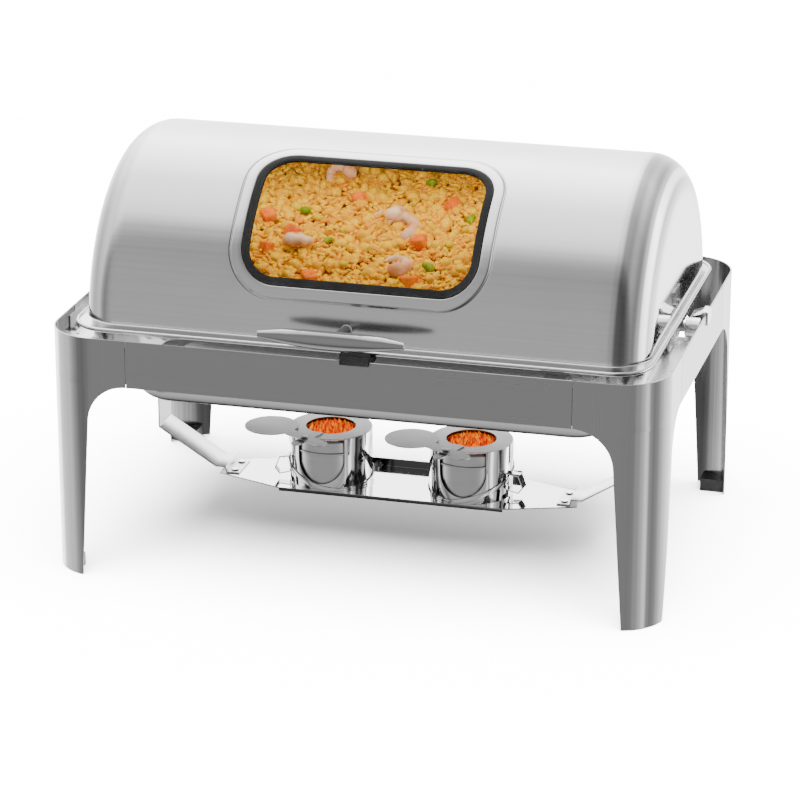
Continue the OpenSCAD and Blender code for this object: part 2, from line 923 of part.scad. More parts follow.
// A folded grip on the outer side of a cup, and the sloping band that holds it.
module cup_handle(side) {
    turn = side == left ? grip_turn_left : grip_turn_right;
    color("whitesmoke") {
        rotate([0, 0, turn]) translate([0, grip_w / 2, tray_z]) rotate([90, 0, 0])
            linear_extrude(grip_w) strip([
                [cup_r, 26], [cup_r + 11, 25], [cup_r + 16, 12], [cup_r + 11, 5], [cup_r, 7]
            ], -grip_t);
        intersection() {
            translate([0, 0, tray_z]) difference() {
                cylinder(r = cup_r + grip_t, h = cup_h);
                translate([0, 0, -1]) cylinder(r = cup_r, h = cup_h + 2);
            }
            translate([0, 0, tray_z + 11]) rotate([12, -side * band_tilt, 0])
                translate([-big / 2, -big / 2, 0]) cube([big, big, cup_band_h]);
            translate([-big / 2, cup_band_rear - big, 0]) cube([big, big, big]);
        }
    }
}

// ---------------------------------------------------------------- nodes

place() leg(left, front);  // leg_front_left
place() leg(right, front);  // leg_front_right
place() leg(left, rear);  // leg_rear_left
place() leg(right, rear);  // leg_rear_right
place() long_band(front);  // front_band
place() long_band(rear);  // rear_band
place() side_band(left);  // left_band
place() side_band(right);  // right_band
place() glide(left, front);  // glide_front_left
place() glide(right, front);  // glide_front_right
place() glide(left, rear);  // glide_rear_left
place() glide(right, rear);  // glide_rear_right
place() seam_plates();
place() seam_nuts();
place() pan_cradle();
place() side_ledge(left);  // left_side_ledge
place() side_ledge(right);  // right_side_ledge
place() front_brackets();
place() front_bumper();
place() water_pan();
place() food_pan();
place() food_fill();
on_lid() lid_shell();
on_lid() window_bezel();
on_lid() window_gasket();
on_lid() window_glass();
on_lid() lid_handle();
on_lid() handle_post();
on_lid() handle_screw();
on_lid() lid_ear(left);  // left_lid_ear
on_lid() lid_ear(right);  // right_lid_ear
on_lid() hinge_pin(left);  // left_hinge_pin
on_lid() hinge_pin(right);  // right_hinge_pin
place() hinge_bracket(left);  // left_hinge_bracket
place() hinge_bracket(right);  // right_hinge_bracket
place() hinge_barrel(left);  // left_hinge_barrel
place() hinge_barrel(right);  // right_hinge_barrel
place() band_clip(left);  // left_band_clip
place() band_clip(right);  // right_band_clip
place() fuel_tray();
place() tray_strap(left);  // left_tray_strap
place() tray_strap(right);  // right_tray_strap
place() strap_rivets();
on_burner(left) fuel_cup();  // left_fuel_cup
on_burner(right) fuel_cup();  // right_fuel_cup
on_burner(left) fuel_can();  // left_fuel_can
on_burner(right) fuel_can();  // right_fuel_can
on_burner(left) fuel_gel();  // left_fuel_gel
on_burner(right) fuel_gel();  // right_fuel_gel
on_burner(left) ring_plate();  // left_ring_plate
on_burner(right) ring_plate();  // right_ring_plate
on_damper(left) damper();  // left_damper
on_damper(right) damper();  // right_damper
on_burner(left) damper_rivet();  // left_damper_rivet
on_burner(right) damper_rivet();  // right_damper_rivet
on_burner(left) cup_handle(left);  // left_cup_handle
on_burner(right) cup_handle(right);  // right_cup_handle
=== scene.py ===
"""Roll top chafer: a buffet food warmer with a roll back lid, a window, two pans and two fuel burners."""

import json
import logging
import math
import random
from dataclasses import dataclass, field
from enum import Enum
from typing import Callable, Iterable, Sequence

import bmesh
import bpy
from mathutils import Euler, Matrix, Vector, noise
from mathutils.bvhtree import BVHTree


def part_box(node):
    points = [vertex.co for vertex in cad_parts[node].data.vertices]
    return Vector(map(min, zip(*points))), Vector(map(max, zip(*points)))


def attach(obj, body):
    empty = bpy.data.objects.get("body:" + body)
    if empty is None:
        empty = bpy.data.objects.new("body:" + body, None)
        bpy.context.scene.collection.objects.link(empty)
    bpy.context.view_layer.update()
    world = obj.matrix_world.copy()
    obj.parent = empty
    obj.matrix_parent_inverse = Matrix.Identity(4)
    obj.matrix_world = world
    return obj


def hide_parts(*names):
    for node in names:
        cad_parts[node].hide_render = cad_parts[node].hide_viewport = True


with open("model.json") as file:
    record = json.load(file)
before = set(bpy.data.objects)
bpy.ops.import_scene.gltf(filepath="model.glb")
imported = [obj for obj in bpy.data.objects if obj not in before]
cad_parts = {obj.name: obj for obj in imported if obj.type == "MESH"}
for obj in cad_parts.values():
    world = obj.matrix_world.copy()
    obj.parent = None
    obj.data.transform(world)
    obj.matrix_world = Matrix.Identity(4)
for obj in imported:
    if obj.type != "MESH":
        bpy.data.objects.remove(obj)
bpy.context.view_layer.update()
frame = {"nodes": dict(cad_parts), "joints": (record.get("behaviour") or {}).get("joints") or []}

log = logging.getLogger("chafer")

MM = 0.001
WELD = 0.02 * MM
Colour = tuple[float, float, float]
Stop = tuple[float, Colour]
Socket = bpy.types.NodeSocket


def mix(a: float, b: float, share: float) -> float:
    """Gives the value that lies a share of the way from a to b."""
    return a + (b - a) * share


def spread(low: float, high: float, steps: int) -> list[float]:
    """Gives steps + 1 even values from low to high."""
    return [mix(low, high, i / steps) for i in range(steps + 1)]


# ---------------------------------------------------------------- mesh work


def patch(bm: bmesh.types.BMesh, columns: int, rows: int, place: Callable[[int, int], Vector]) -> None:
    """Adds a grid of faces and puts each of its corners in place.

    Args:
        bm: Mesh that the grid is added to.
        columns: Number of faces across.
        rows: Number of faces up.
        place: Gives the place of the corner in column i and row j.
    """
    made = bmesh.ops.create_grid(bm, x_segments=columns, y_segments=rows, size=1.0)
    for vert in made["verts"]:
        column = round((vert.co.x + 1) / 2 * columns)
        row = round((vert.co.y + 1) / 2 * rows)
        vert.co = place(column, row)


def weld(bm: bmesh.types.BMesh, inside: Vector | None = None) -> None:
    """Merges what touches and points all faces outwards.

    Args:
        bm: Mesh to clean.
        inside: A point that the faces of an open sheet look away from.
    """
    bmesh.ops.remove_doubles(bm, verts=bm.verts, dist=WELD)
    bmesh.ops.dissolve_degenerate(bm, edges=bm.edges, dist=WELD / 2)
    bmesh.ops.recalc_face_normals(bm, faces=bm.faces)
    if inside is not None:
        bm.normal_update()
        away = sum(f.normal.dot(f.calc_center_median() - inside) * f.calc_area() for f in bm.faces)
        if away < 0:
            bmesh.ops.reverse_faces(bm, faces=bm.faces)


def soften(bm: bmesh.types.BMesh, crease: float) -> None:
    """Shades the faces smooth, with a hard edge wherever they meet at more than crease degrees.

    Args:
        bm: Mesh to shade.
        crease: Angle in degrees above which an edge stays hard.
    """
    for face in bm.faces:
        face.smooth = True
    limit = math.radians(crease)
    for edge in bm.edges:
        edge.smooth = len(edge.link_faces) == 2 and edge.calc_face_angle(0.0) < limit


def turned(
    bm: bmesh.types.BMesh,
    profile: Sequence[tuple[float, float]],
    centre: Vector,
    axis: Vector = Vector((0, 0, 1)),
    steps: int = 48,
) -> None:
    """Adds a lathe-turned surface.

    Args:
        bm: Mesh that the surface is added to.
        profile: Points as (radius, distance along the axis).
        centre: Point that the distances start from.
        axis: Direction of the axis.
        steps: Number of faces round the axis.
    """
    across = axis.orthogonal().normalized()
    verts = [bm.verts.new(centre + across * r + axis * along) for r, along in profile]
    edges = [bm.edges.new(pair) for pair in zip(verts, verts[1:])]
    bmesh.ops.spin(
        bm, geom=verts + edges, cent=centre, axis=axis, angle=math.tau, steps=steps, use_merge=True
    )


def cad_copy(node: str, rounding: float, segments: int = 2) -> bmesh.types.BMesh:
    """Copies a CAD part, merges its triangles into plain faces and rounds its sharp edges.

    Args:
        node: Name of the CAD part.
        rounding: Width of the rounding.
        segments: Number of faces across the rounding.

    Returns:
        The copy as a mesh of its own.
    """
    bm = bmesh.new()
    bm.from_mesh(frame["nodes"][node].data)
    bmesh.ops.remove_doubles(bm, verts=bm.verts, dist=WELD / 2)
    bmesh.ops.dissolve_limit(bm, angle_limit=math.radians(0.5), verts=bm.verts, edges=bm.edges)
    limit = math.radians(32)
    for face in bm.faces:
        turns = [e.calc_face_angle(0.0) for e in face.edges if len(e.link_faces) == 2]
        face.smooth = any(math.radians(0.3) < turn < limit for turn in turns)
    sharp = [e for e in bm.edges if len(e.link_faces) == 2 and e.calc_face_angle(0.0) > limit]
    rounded = bmesh.ops.bevel(
        bm, geom=sharp, offset=rounding, offset_type="OFFSET", segments=segments, profile=0.5,
        affect="EDGES", material=-1, clamp_overlap=True,
    )
    for face in rounded["faces"]:
        face.smooth = True
    for edge in bm.edges:
        edge.smooth = len(edge.link_faces) == 2 and edge.calc_face_angle(0.0) < limit
    return bm


def copies(template: bmesh.types.BMesh, places: Iterable[Matrix]) -> bmesh.types.BMesh:
    """Puts one copy of a small mesh at each place, in one mesh.

    Args:
        template: The small mesh, which is used up.
        places: Matrices that place the copies.

    Returns:
        The copies as one mesh.
    """
    mesh = bpy.data.meshes.new("template")
    template.to_mesh(mesh)
    home = [v.co.copy() for v in mesh.vertices]
    bm = bmesh.new()
    for place in places:
        mesh.vertices.foreach_set("co", [c for co in home for c in place @ co])
        bm.from_mesh(mesh)
    bpy.data.meshes.remove(mesh)
    template.free()
    return bm


@dataclass(frozen=True)
class RoundedBox:
    """A rectangle with rounded corners, centred on the origin of its own plane."""

    half_x: float
    half_y: float
    radius: float

    def grown(self, by: float) -> "RoundedBox":
        """Gives the outline that lies by outside this one."""
        return RoundedBox(self.half_x + by, self.half_y + by, self.radius + by)

    def ring(self, corner_steps: int = 8, side_steps: int = 4) -> list[tuple[float, float]]:
        """Walks round the outline.

        Args:
            corner_steps: Number of steps round each corner.
            side_steps: Number of steps along each side.

        Returns:
            The points, the same number for each outline with the same steps.
        """
        corners = []
        for quarter, (sx, sy) in enumerate(((1, 1), (-1, 1), (-1, -1), (1, -1))):
            middle = (sx * (self.half_x - self.radius), sy * (self.half_y - self.radius))
            corners.append([
                (middle[0] + self.radius * math.cos(a), middle[1] + self.radius * math.sin(a))
                for a in spread(quarter * math.pi / 2, (quarter + 1) * math.pi / 2, corner_steps)
            ])
        points = []
        for corner, following in zip(corners, corners[1:] + corners[:1]):
            points += corner[:-1]
            start, end = corner[-1], following[0]
            points += [
                (mix(start[0], end[0], i / side_steps), mix(start[1], end[1], i / side_steps))
                for i in range(side_steps)
            ]
        return points

    def nearest(self, x: float, y: float) -> tuple[float, float]:
        """Gives the outline's point that is nearest to a point outside it.

        Args:
            x: Place of the point outside along X.
            y: Its place along Y.

        Returns:
            The nearest point.
        """
        core_x = max(-self.half_x + self.radius, min(x, self.half_x - self.radius))
        core_y = max(-self.half_y + self.radius, min(y, self.half_y - self.radius))
        away = Vector((x - core_x, y - core_y)).normalized() * self.radius
        return core_x + away.x, core_y + away.y


def loft(bm: bmesh.types.BMesh, sections: Sequence[tuple[RoundedBox, float]], centre: Vector) -> None:
    """Adds a surface through level outlines, given as (outline, height), from the first to the last.

    Args:
        bm: Mesh that the surface is added to.
        sections: The outlines and their heights.
        centre: Point that the outlines are centred on.
    """
    rings = [(outline.ring(), height) for outline, height in sections]
    count = len(rings[0][0])

    def place(i: int, j: int) -> Vector:
        """Gives the place of a point of one of the outlines.

        Args:
            i: Number of the point round the outline.
            j: Number of the outline.

        Returns:
            The point.
        """
        points, height = rings[j]
        x, y = points[i % count]
        return Vector((centre.x + x, centre.y + y, height))

    patch(bm, count, len(rings) - 1, place)


# ---------------------------------------------------------------- finishes


def fill_ramp(node: bpy.types.Node, stops: Sequence[Stop], blend: str = "LINEAR") -> None:
    """Gives a colour ramp its stops, which run from low to high.

    Args:
        node: The colour ramp.
        stops: Its stops as (position, colour).
        blend: How it runs between them.
    """
    ramp = node.color_ramp
    ramp.interpolation = blend
    ramp.elements.remove(ramp.elements[1])
    ramp.elements[0].position = stops[0][0]
    ramp.elements[0].color = (*stops[0][1], 1.0)
    for position, colour in stops[1:]:
        ramp.elements.new(position).color = (*colour, 1.0)


def set_range(node: bpy.types.Node, source: tuple[float, float], result: tuple[float, float]) -> None:
    """Sets the two ranges of a Map Range node.

    Args:
        node: The node.
        source: Range of the value that comes in.
        result: Range of the value that goes out.
    """
    for name, number in zip(("From Min", "From Max", "To Min", "To Max"), (*source, *result)):
        node.inputs[name].default_value = number


class Shader:
    """A material with a Principled shader, and short ways to add nodes in front of it."""

    def __init__(self, name: str) -> None:
        """Starts a material of that name.

        Args:
            name: Name of the material.
        """
        self.material = bpy.data.materials.new(name)
        self.material.use_nodes = True
        self.tree = self.material.node_tree
        self.surface = self.tree.nodes["Principled BSDF"]

    def fix(self, **values: float | Colour) -> None:
        """Sets the shader's own sockets, where Base_Color stands for Base Color.

        Args:
            values: The sockets' values by name.
        """
        for name, value in values.items():
            socket = self.surface.inputs[name.replace("_", " ")]
            socket.default_value = (*value, 1.0) if isinstance(value, tuple) else value

    def add(self, kind: str, **settings: object) -> bpy.types.Node:
        """Adds a node and sets its properties.

        Args:
            kind: Kind of node.
            settings: Its properties by name.

        Returns:
            The node.
        """
        node = self.tree.nodes.new(kind)
        for name, value in settings.items():
            setattr(node, name, value)
        return node

    def wire(self, source: Socket, target: Socket | str) -> None:
        """Links a socket to another, or to the shader's socket of that name."""
        self.tree.links.new(source, self.surface.inputs[target] if isinstance(target, str) else target)

    def place(self, scale: Sequence[float] = (1, 1, 1)) -> Socket:
        """Gives the object's own coordinates, stretched.

        Args:
            scale: Stretch along X, Y and Z.

        Returns:
            The coordinates' socket.
        """
        mapping = self.add("ShaderNodeMapping")
        mapping.inputs["Scale"].default_value = scale
        self.wire(self.add("ShaderNodeTexCoord").outputs["Object"], mapping.inputs["Vector"])
        return mapping.outputs["Vector"]

    def normal(self, axis: str) -> Socket:
        """Gives one part, X, Y or Z, of the way that the surface faces.

        Args:
            axis: Name of the part.

        Returns:
            The part's socket.
        """
        apart = self.add("ShaderNodeSeparateXYZ")
        self.wire(self.add("ShaderNodeTexCoord").outputs["Normal"], apart.inputs[0])
        return apart.outputs[axis]

    def noise(self, vector: Socket, scale: float = 1.0, detail: float = 3.0) -> Socket:
        """Gives a soft noise from 0 to 1 over some coordinates.

        Args:
            vector: The coordinates' socket.
            scale: How fine the noise is.
            detail: How many finer layers it has.

        Returns:
            The noise's socket.
        """
        node = self.add("ShaderNodeTexNoise")
        node.inputs["Scale"].default_value = scale
        node.inputs["Detail"].default_value = detail
        self.wire(vector, node.inputs["Vector"])
        return node.outputs["Fac"]

    def remap(
        self, value: Socket, low: float, high: float, from_low: float = 0.3, from_high: float = 0.7
    ) -> Socket:
        """Stretches a value from one range to another, and holds it there.

        Args:
            value: The value's socket.
            low: Result at the start of the range.
            high: Result at its end.
            from_low: Value where the range starts.
            from_high: Value where it ends.

        Returns:
            The result's socket.
        """
        node = self.add("ShaderNodeMapRange")
        set_range(node, (from_low, from_high), (low, high))
        self.wire(value, node.inputs["Value"])
        return node.outputs["Result"]

    def ramp(self, value: Socket, stops: Sequence[Stop], blend: str = "LINEAR") -> Socket:
        """Turns a value from 0 to 1 into a colour.

        Args:
            value: The value's socket.
            stops: The ramp's stops as (position, colour).
            blend: How it runs between them.

        Returns:
            The colour's socket.
        """
        node = self.add("ShaderNodeValToRGB")
        fill_ramp(node, stops, blend)
        self.wire(value, node.inputs["Fac"])
        return node.outputs["Color"]

    def math(self, operation: str, *values: Socket | float) -> Socket:
        """Works out one step of arithmetic.

        Args:
            operation: Name of the step.
            values: Numbers or sockets that it works on.

        Returns:
            The result's socket.
        """
        node = self.add("ShaderNodeMath", operation=operation)
        for socket, value in zip(node.inputs, values):
            if isinstance(value, (int, float)):
                socket.default_value = value
            else:
                self.wire(value, socket)
        return node.outputs[0]

    def shade(self, colour: Socket, factor: Socket) -> Socket:
        """Multiplies a colour by a number.

        Args:
            colour: The colour's socket.
            factor: The number's socket.

        Returns:
            The result's socket.
        """
        node = self.add("ShaderNodeVectorMath", operation="SCALE")
        self.wire(colour, node.inputs[0])
        self.wire(factor, node.inputs["Scale"])
        return node.outputs["Vector"]

    def bump(self, height: Socket, strength: float, depth: float) -> None:
        """Roughens the surface's normal by a height.

        Args:
            height: The height's socket.
            strength: Share of the effect.
            depth: Height that 1 stands for.
        """
        node = self.add("ShaderNodeBump")
        node.inputs["Strength"].default_value = strength
        node.inputs["Distance"].default_value = depth
        self.wire(height, node.inputs["Height"])
        self.wire(node.outputs["Normal"], "Normal")


class Grain(Enum):
    """The way a metal is brushed, as how finely its streaks change along X, Y and Z."""

    LENGTHWISE = (2.5, 260.0, 260.0)
    DEPTHWISE = (260.0, 2.5, 260.0)
    UPRIGHT = (260.0, 260.0, 2.5)
    TURNED = (5.0, 5.0, 600.0)
    CLOUDY = (30.0, 30.0, 30.0)


@dataclass(frozen=True)
class Steel:
    """Sheet steel: brushed one way, with faint clouds and wipe marks.

    The colour may carry painted reflections, a share of the tint for each way that the sheet faces (facing),
    the roughness may fall towards the ends (end_gloss), and faces between two heights of normal may go from a
    share of the colour to all of it, as painted shade (shadow). An edge below 1 dulls the steel where it is
    seen from nearly along its surface.
    """

    name: str
    tint: Colour
    roughness: float
    grain: Grain
    streaks: float = 0.06
    variation: float = 0.05
    depth: float = 0.02
    facing: tuple[tuple[float, float], ...] = ()
    end_gloss: float = 0.0
    shadow: tuple[float, float, float] | None = None
    edge: float = 1.0

    def colour(self, shader: Shader) -> Socket:
        """Gives the metal's colour: one tint, or a tint with painted reflections for each way that the sheet
        faces.

        Args:
            shader: Material that the nodes are added to.

        Returns:
            The colour's socket.
        """
        if not self.facing:
            node = shader.add("ShaderNodeRGB")
            node.outputs[0].default_value = (*self.tint, 1.0)
            return node.outputs[0]
        # Painted reflections: the share of the tint follows the way that the sheet faces.
        turn = shader.math("ARCSINE", shader.normal("X"))
        share = shader.remap(turn, 0.0, 1.0, -math.pi / 2, math.pi / 2)
        stops = [((angle + 90) / 180, tuple(t * level for t in self.tint)) for angle, level in self.facing]
        return shader.ramp(share, stops, "EASE")

    def make(self) -> bpy.types.Material:
        """Builds the material.

        Returns:
            The material.
        """
        shader = Shader(self.name)
        shader.fix(Metallic=1.0, Specular_Tint=(self.edge, self.edge, self.edge))
        streak = shader.noise(shader.place(self.grain.value), detail=4.0)
        cloud = shader.noise(shader.place((7.0, 7.0, 7.0)), detail=2.0)
        both = shader.math("ADD", shader.math("MULTIPLY", streak, 0.6), shader.math("MULTIPLY", cloud, 0.4))
        level = shader.remap(both, 1 - self.streaks, 1 + self.streaks)
        if self.shadow:
            share, low, high = self.shadow
            level = shader.math("MULTIPLY", level, shader.remap(shader.normal("Z"), share, 1.0, low, high))
        shader.wire(shader.shade(self.colour(shader), level), "Base Color")
        rough = shader.remap(both, self.roughness - self.variation, self.roughness + self.variation)
        if self.end_gloss:
            aside = shader.math("ABSOLUTE", shader.normal("X"))
            rough = shader.math("MULTIPLY", rough, shader.remap(aside, 1.0, self.end_gloss, 0.1, 0.8))
        shader.wire(rough, "Roughness")
        shader.bump(streak, self.depth, 0.1 * MM)
        return shader.material


@dataclass(frozen=True)
class Rubber:
    """Rubber or plastic: nearly black, with a fine pebbled skin."""

    name: str
    tint: Colour
    roughness: float
    pebble: float = 900.0

    def make(self) -> bpy.types.Material:
        """Builds the material.

        Returns:
            The material.
        """
        shader = Shader(self.name)
        fine = shader.noise(shader.place(), self.pebble)
        broad = shader.noise(shader.place(), 25.0)
        dark = tuple(0.75 * t for t in self.tint)
        light = tuple(1.35 * t for t in self.tint)
        shader.wire(shader.ramp(broad, [(0.3, dark), (0.7, light)]), "Base Color")
        shader.wire(shader.remap(fine, self.roughness - 0.08, self.roughness + 0.08), "Roughness")
        shader.fix(Specular_IOR_Level=0.12)
        shader.bump(fine, 0.25, 0.1 * MM)
        return shader.material


@dataclass(frozen=True)
class Glass:
    """Clear tempered glass that mostly lets through what is behind it."""

    name: str
    clearness: float = 0.95

    def make(self) -> bpy.types.Material:
        """Builds the material.

        Returns:
            The material.
        """
        shader = Shader(self.name)
        shader.fix(Base_Color=(0.02, 0.02, 0.02), IOR=1.45, Specular_IOR_Level=0.15)
        smear = shader.noise(shader.place((5, 9, 9)), 3.0)
        shader.wire(shader.remap(smear, 0.03, 0.1), "Roughness")
        shader.wire(shader.remap(smear, 1 - self.clearness - 0.02, 1 - self.clearness + 0.03), "Alpha")
        return shader.material


@dataclass(frozen=True)
class Morsel:
    """Moist cooked food with its colour mottled from dark to light."""

    name: str
    dark: Colour
    middle: Colour
    light: Colour
    size: float = 130.0
    roughness: float = 0.42

    def make(self) -> bpy.types.Material:
        """Builds the material.

        Returns:
            The material.
        """
        shader = Shader(self.name)
        shader.fix(Coat_Weight=0.05, Coat_Roughness=0.25, Specular_IOR_Level=0.25)
        blotch = shader.noise(shader.place(), self.size, 3.0)
        stops = [(0.3, self.dark), (0.5, self.middle), (0.68, self.light)]
        shader.wire(shader.ramp(blotch, stops), "Base Color")
        shader.wire(shader.remap(blotch, self.roughness - 0.1, self.roughness + 0.1), "Roughness")
        shader.bump(shader.noise(shader.place(), 5 * self.size), 0.35, 0.4 * MM)
        return shader.material


@dataclass(frozen=True)
class Fire:
    """Flame that is yellow where it is thick and orange red where it is thin."""

    name: str
    strength: float
    stops: tuple[Stop, ...]

    def make(self) -> bpy.types.Material:
        """Builds the material.

        Returns:
            The material.
        """
        shader = Shader(self.name)
        lick = shader.noise(shader.place((330, 330, 45)), 1.0, 2.0)
        shader.wire(shader.ramp(lick, self.stops), "Emission Color")
        shader.fix(Base_Color=(0.02, 0.0, 0.0), Roughness=0.9, Specular_IOR_Level=0.0)
        shader.fix(Emission_Strength=self.strength)
        return shader.material


Finish = Steel | Rubber | Glass | Morsel | Fire

# Painted reflections: how much of its tint a sheet has for each way that it faces, standing in for the bright
# and dark bands of the studio that the steel mirrors, as (degrees from the front towards the right, share of
# the tint).
STAND_PAINTED_REFLECTION = (
    (-90, 0.60), (-72, 0.70), (-62, 0.62), (-52, 0.66), (-44, 0.28), (-32, 0.30), (-25, 0.36),
    (-17, 0.38), (-12, 0.29), (-7, 0.25), (-3, 0.30), (0, 0.37), (18, 0.37), (27, 0.30), (32, 0.21),
    (36, 0.24), (41, 0.36), (46, 0.10), (51, 0.06), (56, 0.06), (62, 0.09), (70, 0.14), (78, 0.22),
    (86, 0.34), (90, 0.54),
)
LID_PAINTED_REFLECTION = (
    (-90, 1.4), (-78, 0.85), (-68, 0.3), (-55, 0.22), (-40, 0.28), (-20, 0.65), (-6, 1.0), (0, 1.0),
    (6, 0.75), (13, 0.24), (20, 0.20), (27, 0.27), (38, 0.14), (46, 0.3), (51, 1.0), (58, 1.0),
    (66, 0.35), (74, 0.5), (85, 0.9), (90, 1.1),
)
CUP_PAINTED_REFLECTION = (
    (-90, 0.9), (-55, 0.85), (-49, 0.12), (-44, 0.8), (-20, 0.75), (-16, 0.35), (-10, 0.8), (20, 0.85),
    (34, 0.75), (38, 0.2), (42, 0.9), (46, 0.25), (52, 0.1), (56, 0.3), (61, 0.08), (65, 0.2),
    (70, 0.95), (76, 0.9), (82, 0.3), (90, 0.8),
)

LID_STEEL = Steel(
    "lid_brushed", (0.70, 0.70, 0.70), 0.16, Grain.LENGTHWISE, 0.05, 0.04, facing=LID_PAINTED_REFLECTION, end_gloss=0.4
)
STAND_STEEL = Steel("stand_polished", (1.0, 1.0, 1.0), 0.24, Grain.UPRIGHT, 0.03, facing=STAND_PAINTED_REFLECTION)
BAND_STEEL = Steel("band_satin", (1.0, 1.0, 1.0), 0.3, Grain.LENGTHWISE, 0.03, facing=STAND_PAINTED_REFLECTION)
HANDLE_STEEL = Steel("handle_satin", (0.36, 0.36, 0.36), 0.16, Grain.LENGTHWISE)
# Painted shade: the handle bar's rear side is drawn nearly black.
HANDLE_REAR_SHADE = Steel("handle_rear_painted_shade", (0.05, 0.05, 0.05), 0.45, Grain.LENGTHWISE, 0.2)
CARRIER_STEEL = Steel("carrier_polished", (0.78, 0.78, 0.78), 0.1, Grain.LENGTHWISE)
PAN_STEEL = Steel(
    "pan_satin", (0.64, 0.64, 0.64), 0.2, Grain.LENGTHWISE, shadow=(0.08, -0.88, -0.4), edge=0.2
)
TRAY_STEEL = Steel(
    "tray_mirror", (0.9, 0.9, 0.9), 0.07, Grain.LENGTHWISE, 0.02, 0.03, 0.01, shadow=(0.1, 0.0, 0.6)
)
STRAP_STEEL = Steel("strap_satin", (0.95, 0.95, 0.95), 0.34, Grain.LENGTHWISE, shadow=(0.35, 0.0, 0.5))
LEDGE_STEEL = Steel("ledge_satin", (1.0, 1.0, 1.0), 0.42, Grain.DEPTHWISE)
POST_STEEL = Steel("post_turned", (0.13, 0.13, 0.13), 0.3, Grain.TURNED)
CUP_STEEL = Steel("cup_mirror", (0.9, 0.9, 0.9), 0.07, Grain.TURNED, 0.05, 0.03, 0.02, CUP_PAINTED_REFLECTION)
CAN_TIN = Steel("can_brushed", (0.56, 0.56, 0.56), 0.3, Grain.TURNED)
PLATE_STEEL = Steel("plate_satin", (0.36, 0.36, 0.36), 0.42, Grain.CLOUDY, 0.04)
HINGE_STEEL = Steel("hinge_polished", (0.86, 0.86, 0.86), 0.16, Grain.CLOUDY)
# Painted shade: the inner side of the legs is drawn dark, with strong upright streaks as painted reflections.
LEG_INNER_SHADE = Steel("leg_inner_painted_shade", (0.14, 0.14, 0.14), 0.2, Grain.UPRIGHT, 0.35)
INNER_STEEL = Steel("inner_plain", (0.45, 0.45, 0.45), 0.32, Grain.CLOUDY)
FASTENER_STEEL = Steel("fastener_bright", (0.5, 0.5, 0.5), 0.25, Grain.TURNED)
DARK_BRACKET = Steel("bracket_dark", (0.1, 0.1, 0.1), 0.4, Grain.CLOUDY, 0.15)
SEAL_RUBBER = Rubber("seal_rubber", (0.006, 0.006, 0.006), 0.6)
BUMPER_RUBBER = Rubber("bumper_rubber", (0.004, 0.004, 0.004), 0.7)
GLIDE_PLASTIC = Rubber("glide_plastic", (0.02, 0.02, 0.02), 0.35)
WINDOW_GLASS = Glass("window_clear")
RICE_BED = Morsel("rice_bed", (0.24, 0.05, 0), (0.42, 0.13, 0), (0.55, 0.22, 0))
RICE_GOLD = Morsel("rice_gold", (0.62, 0.18, 0), (0.74, 0.30, 0), (0.80, 0.42, 0))
RICE_PALE = Morsel("rice_pale", (0.70, 0.30, 0), (0.78, 0.44, 0), (0.82, 0.53, 0.01))
EGG = Morsel("egg_curds", (0.66, 0.23, 0), (0.74, 0.38, 0), (0.78, 0.48, 0), 90.0, 0.34)
SHRIMP = Morsel("shrimp_flesh", (0.60, 0.22, 0.07), (0.66, 0.36, 0.17), (0.70, 0.50, 0.32), 60.0, 0.3)
CARROT = Morsel("carrot_dice", (0.62, 0.08, 0), (0.72, 0.14, 0), (0.78, 0.22, 0), 110.0, 0.32)
PEA = Morsel("pea_skin", (0.096, 0.156, 0), (0.18, 0.252, 0), (0.3, 0.36, 0.018), 110.0, 0.28)
CORN = Morsel("corn_kernel", (0.54, 0.276, 0), (0.588, 0.372, 0), (0.6, 0.444, 0), 110.0, 0.26)
FLAME = Fire("flame", 1.0, ((0.34, (0.5, 0.01, 0.0)), (0.46, (0.95, 0.06, 0.0)), (0.55, (1.2, 0.17, 0.0)),
                            (0.66, (1.3, 0.5, 0.0))))
GEL_GLOW = Fire("gel_glow", 0.5, ((0.35, (0.5, 0.01, 0.0)), (0.6, (0.9, 0.05, 0.0)), (0.75, (1.0, 0.2, 0.0))))


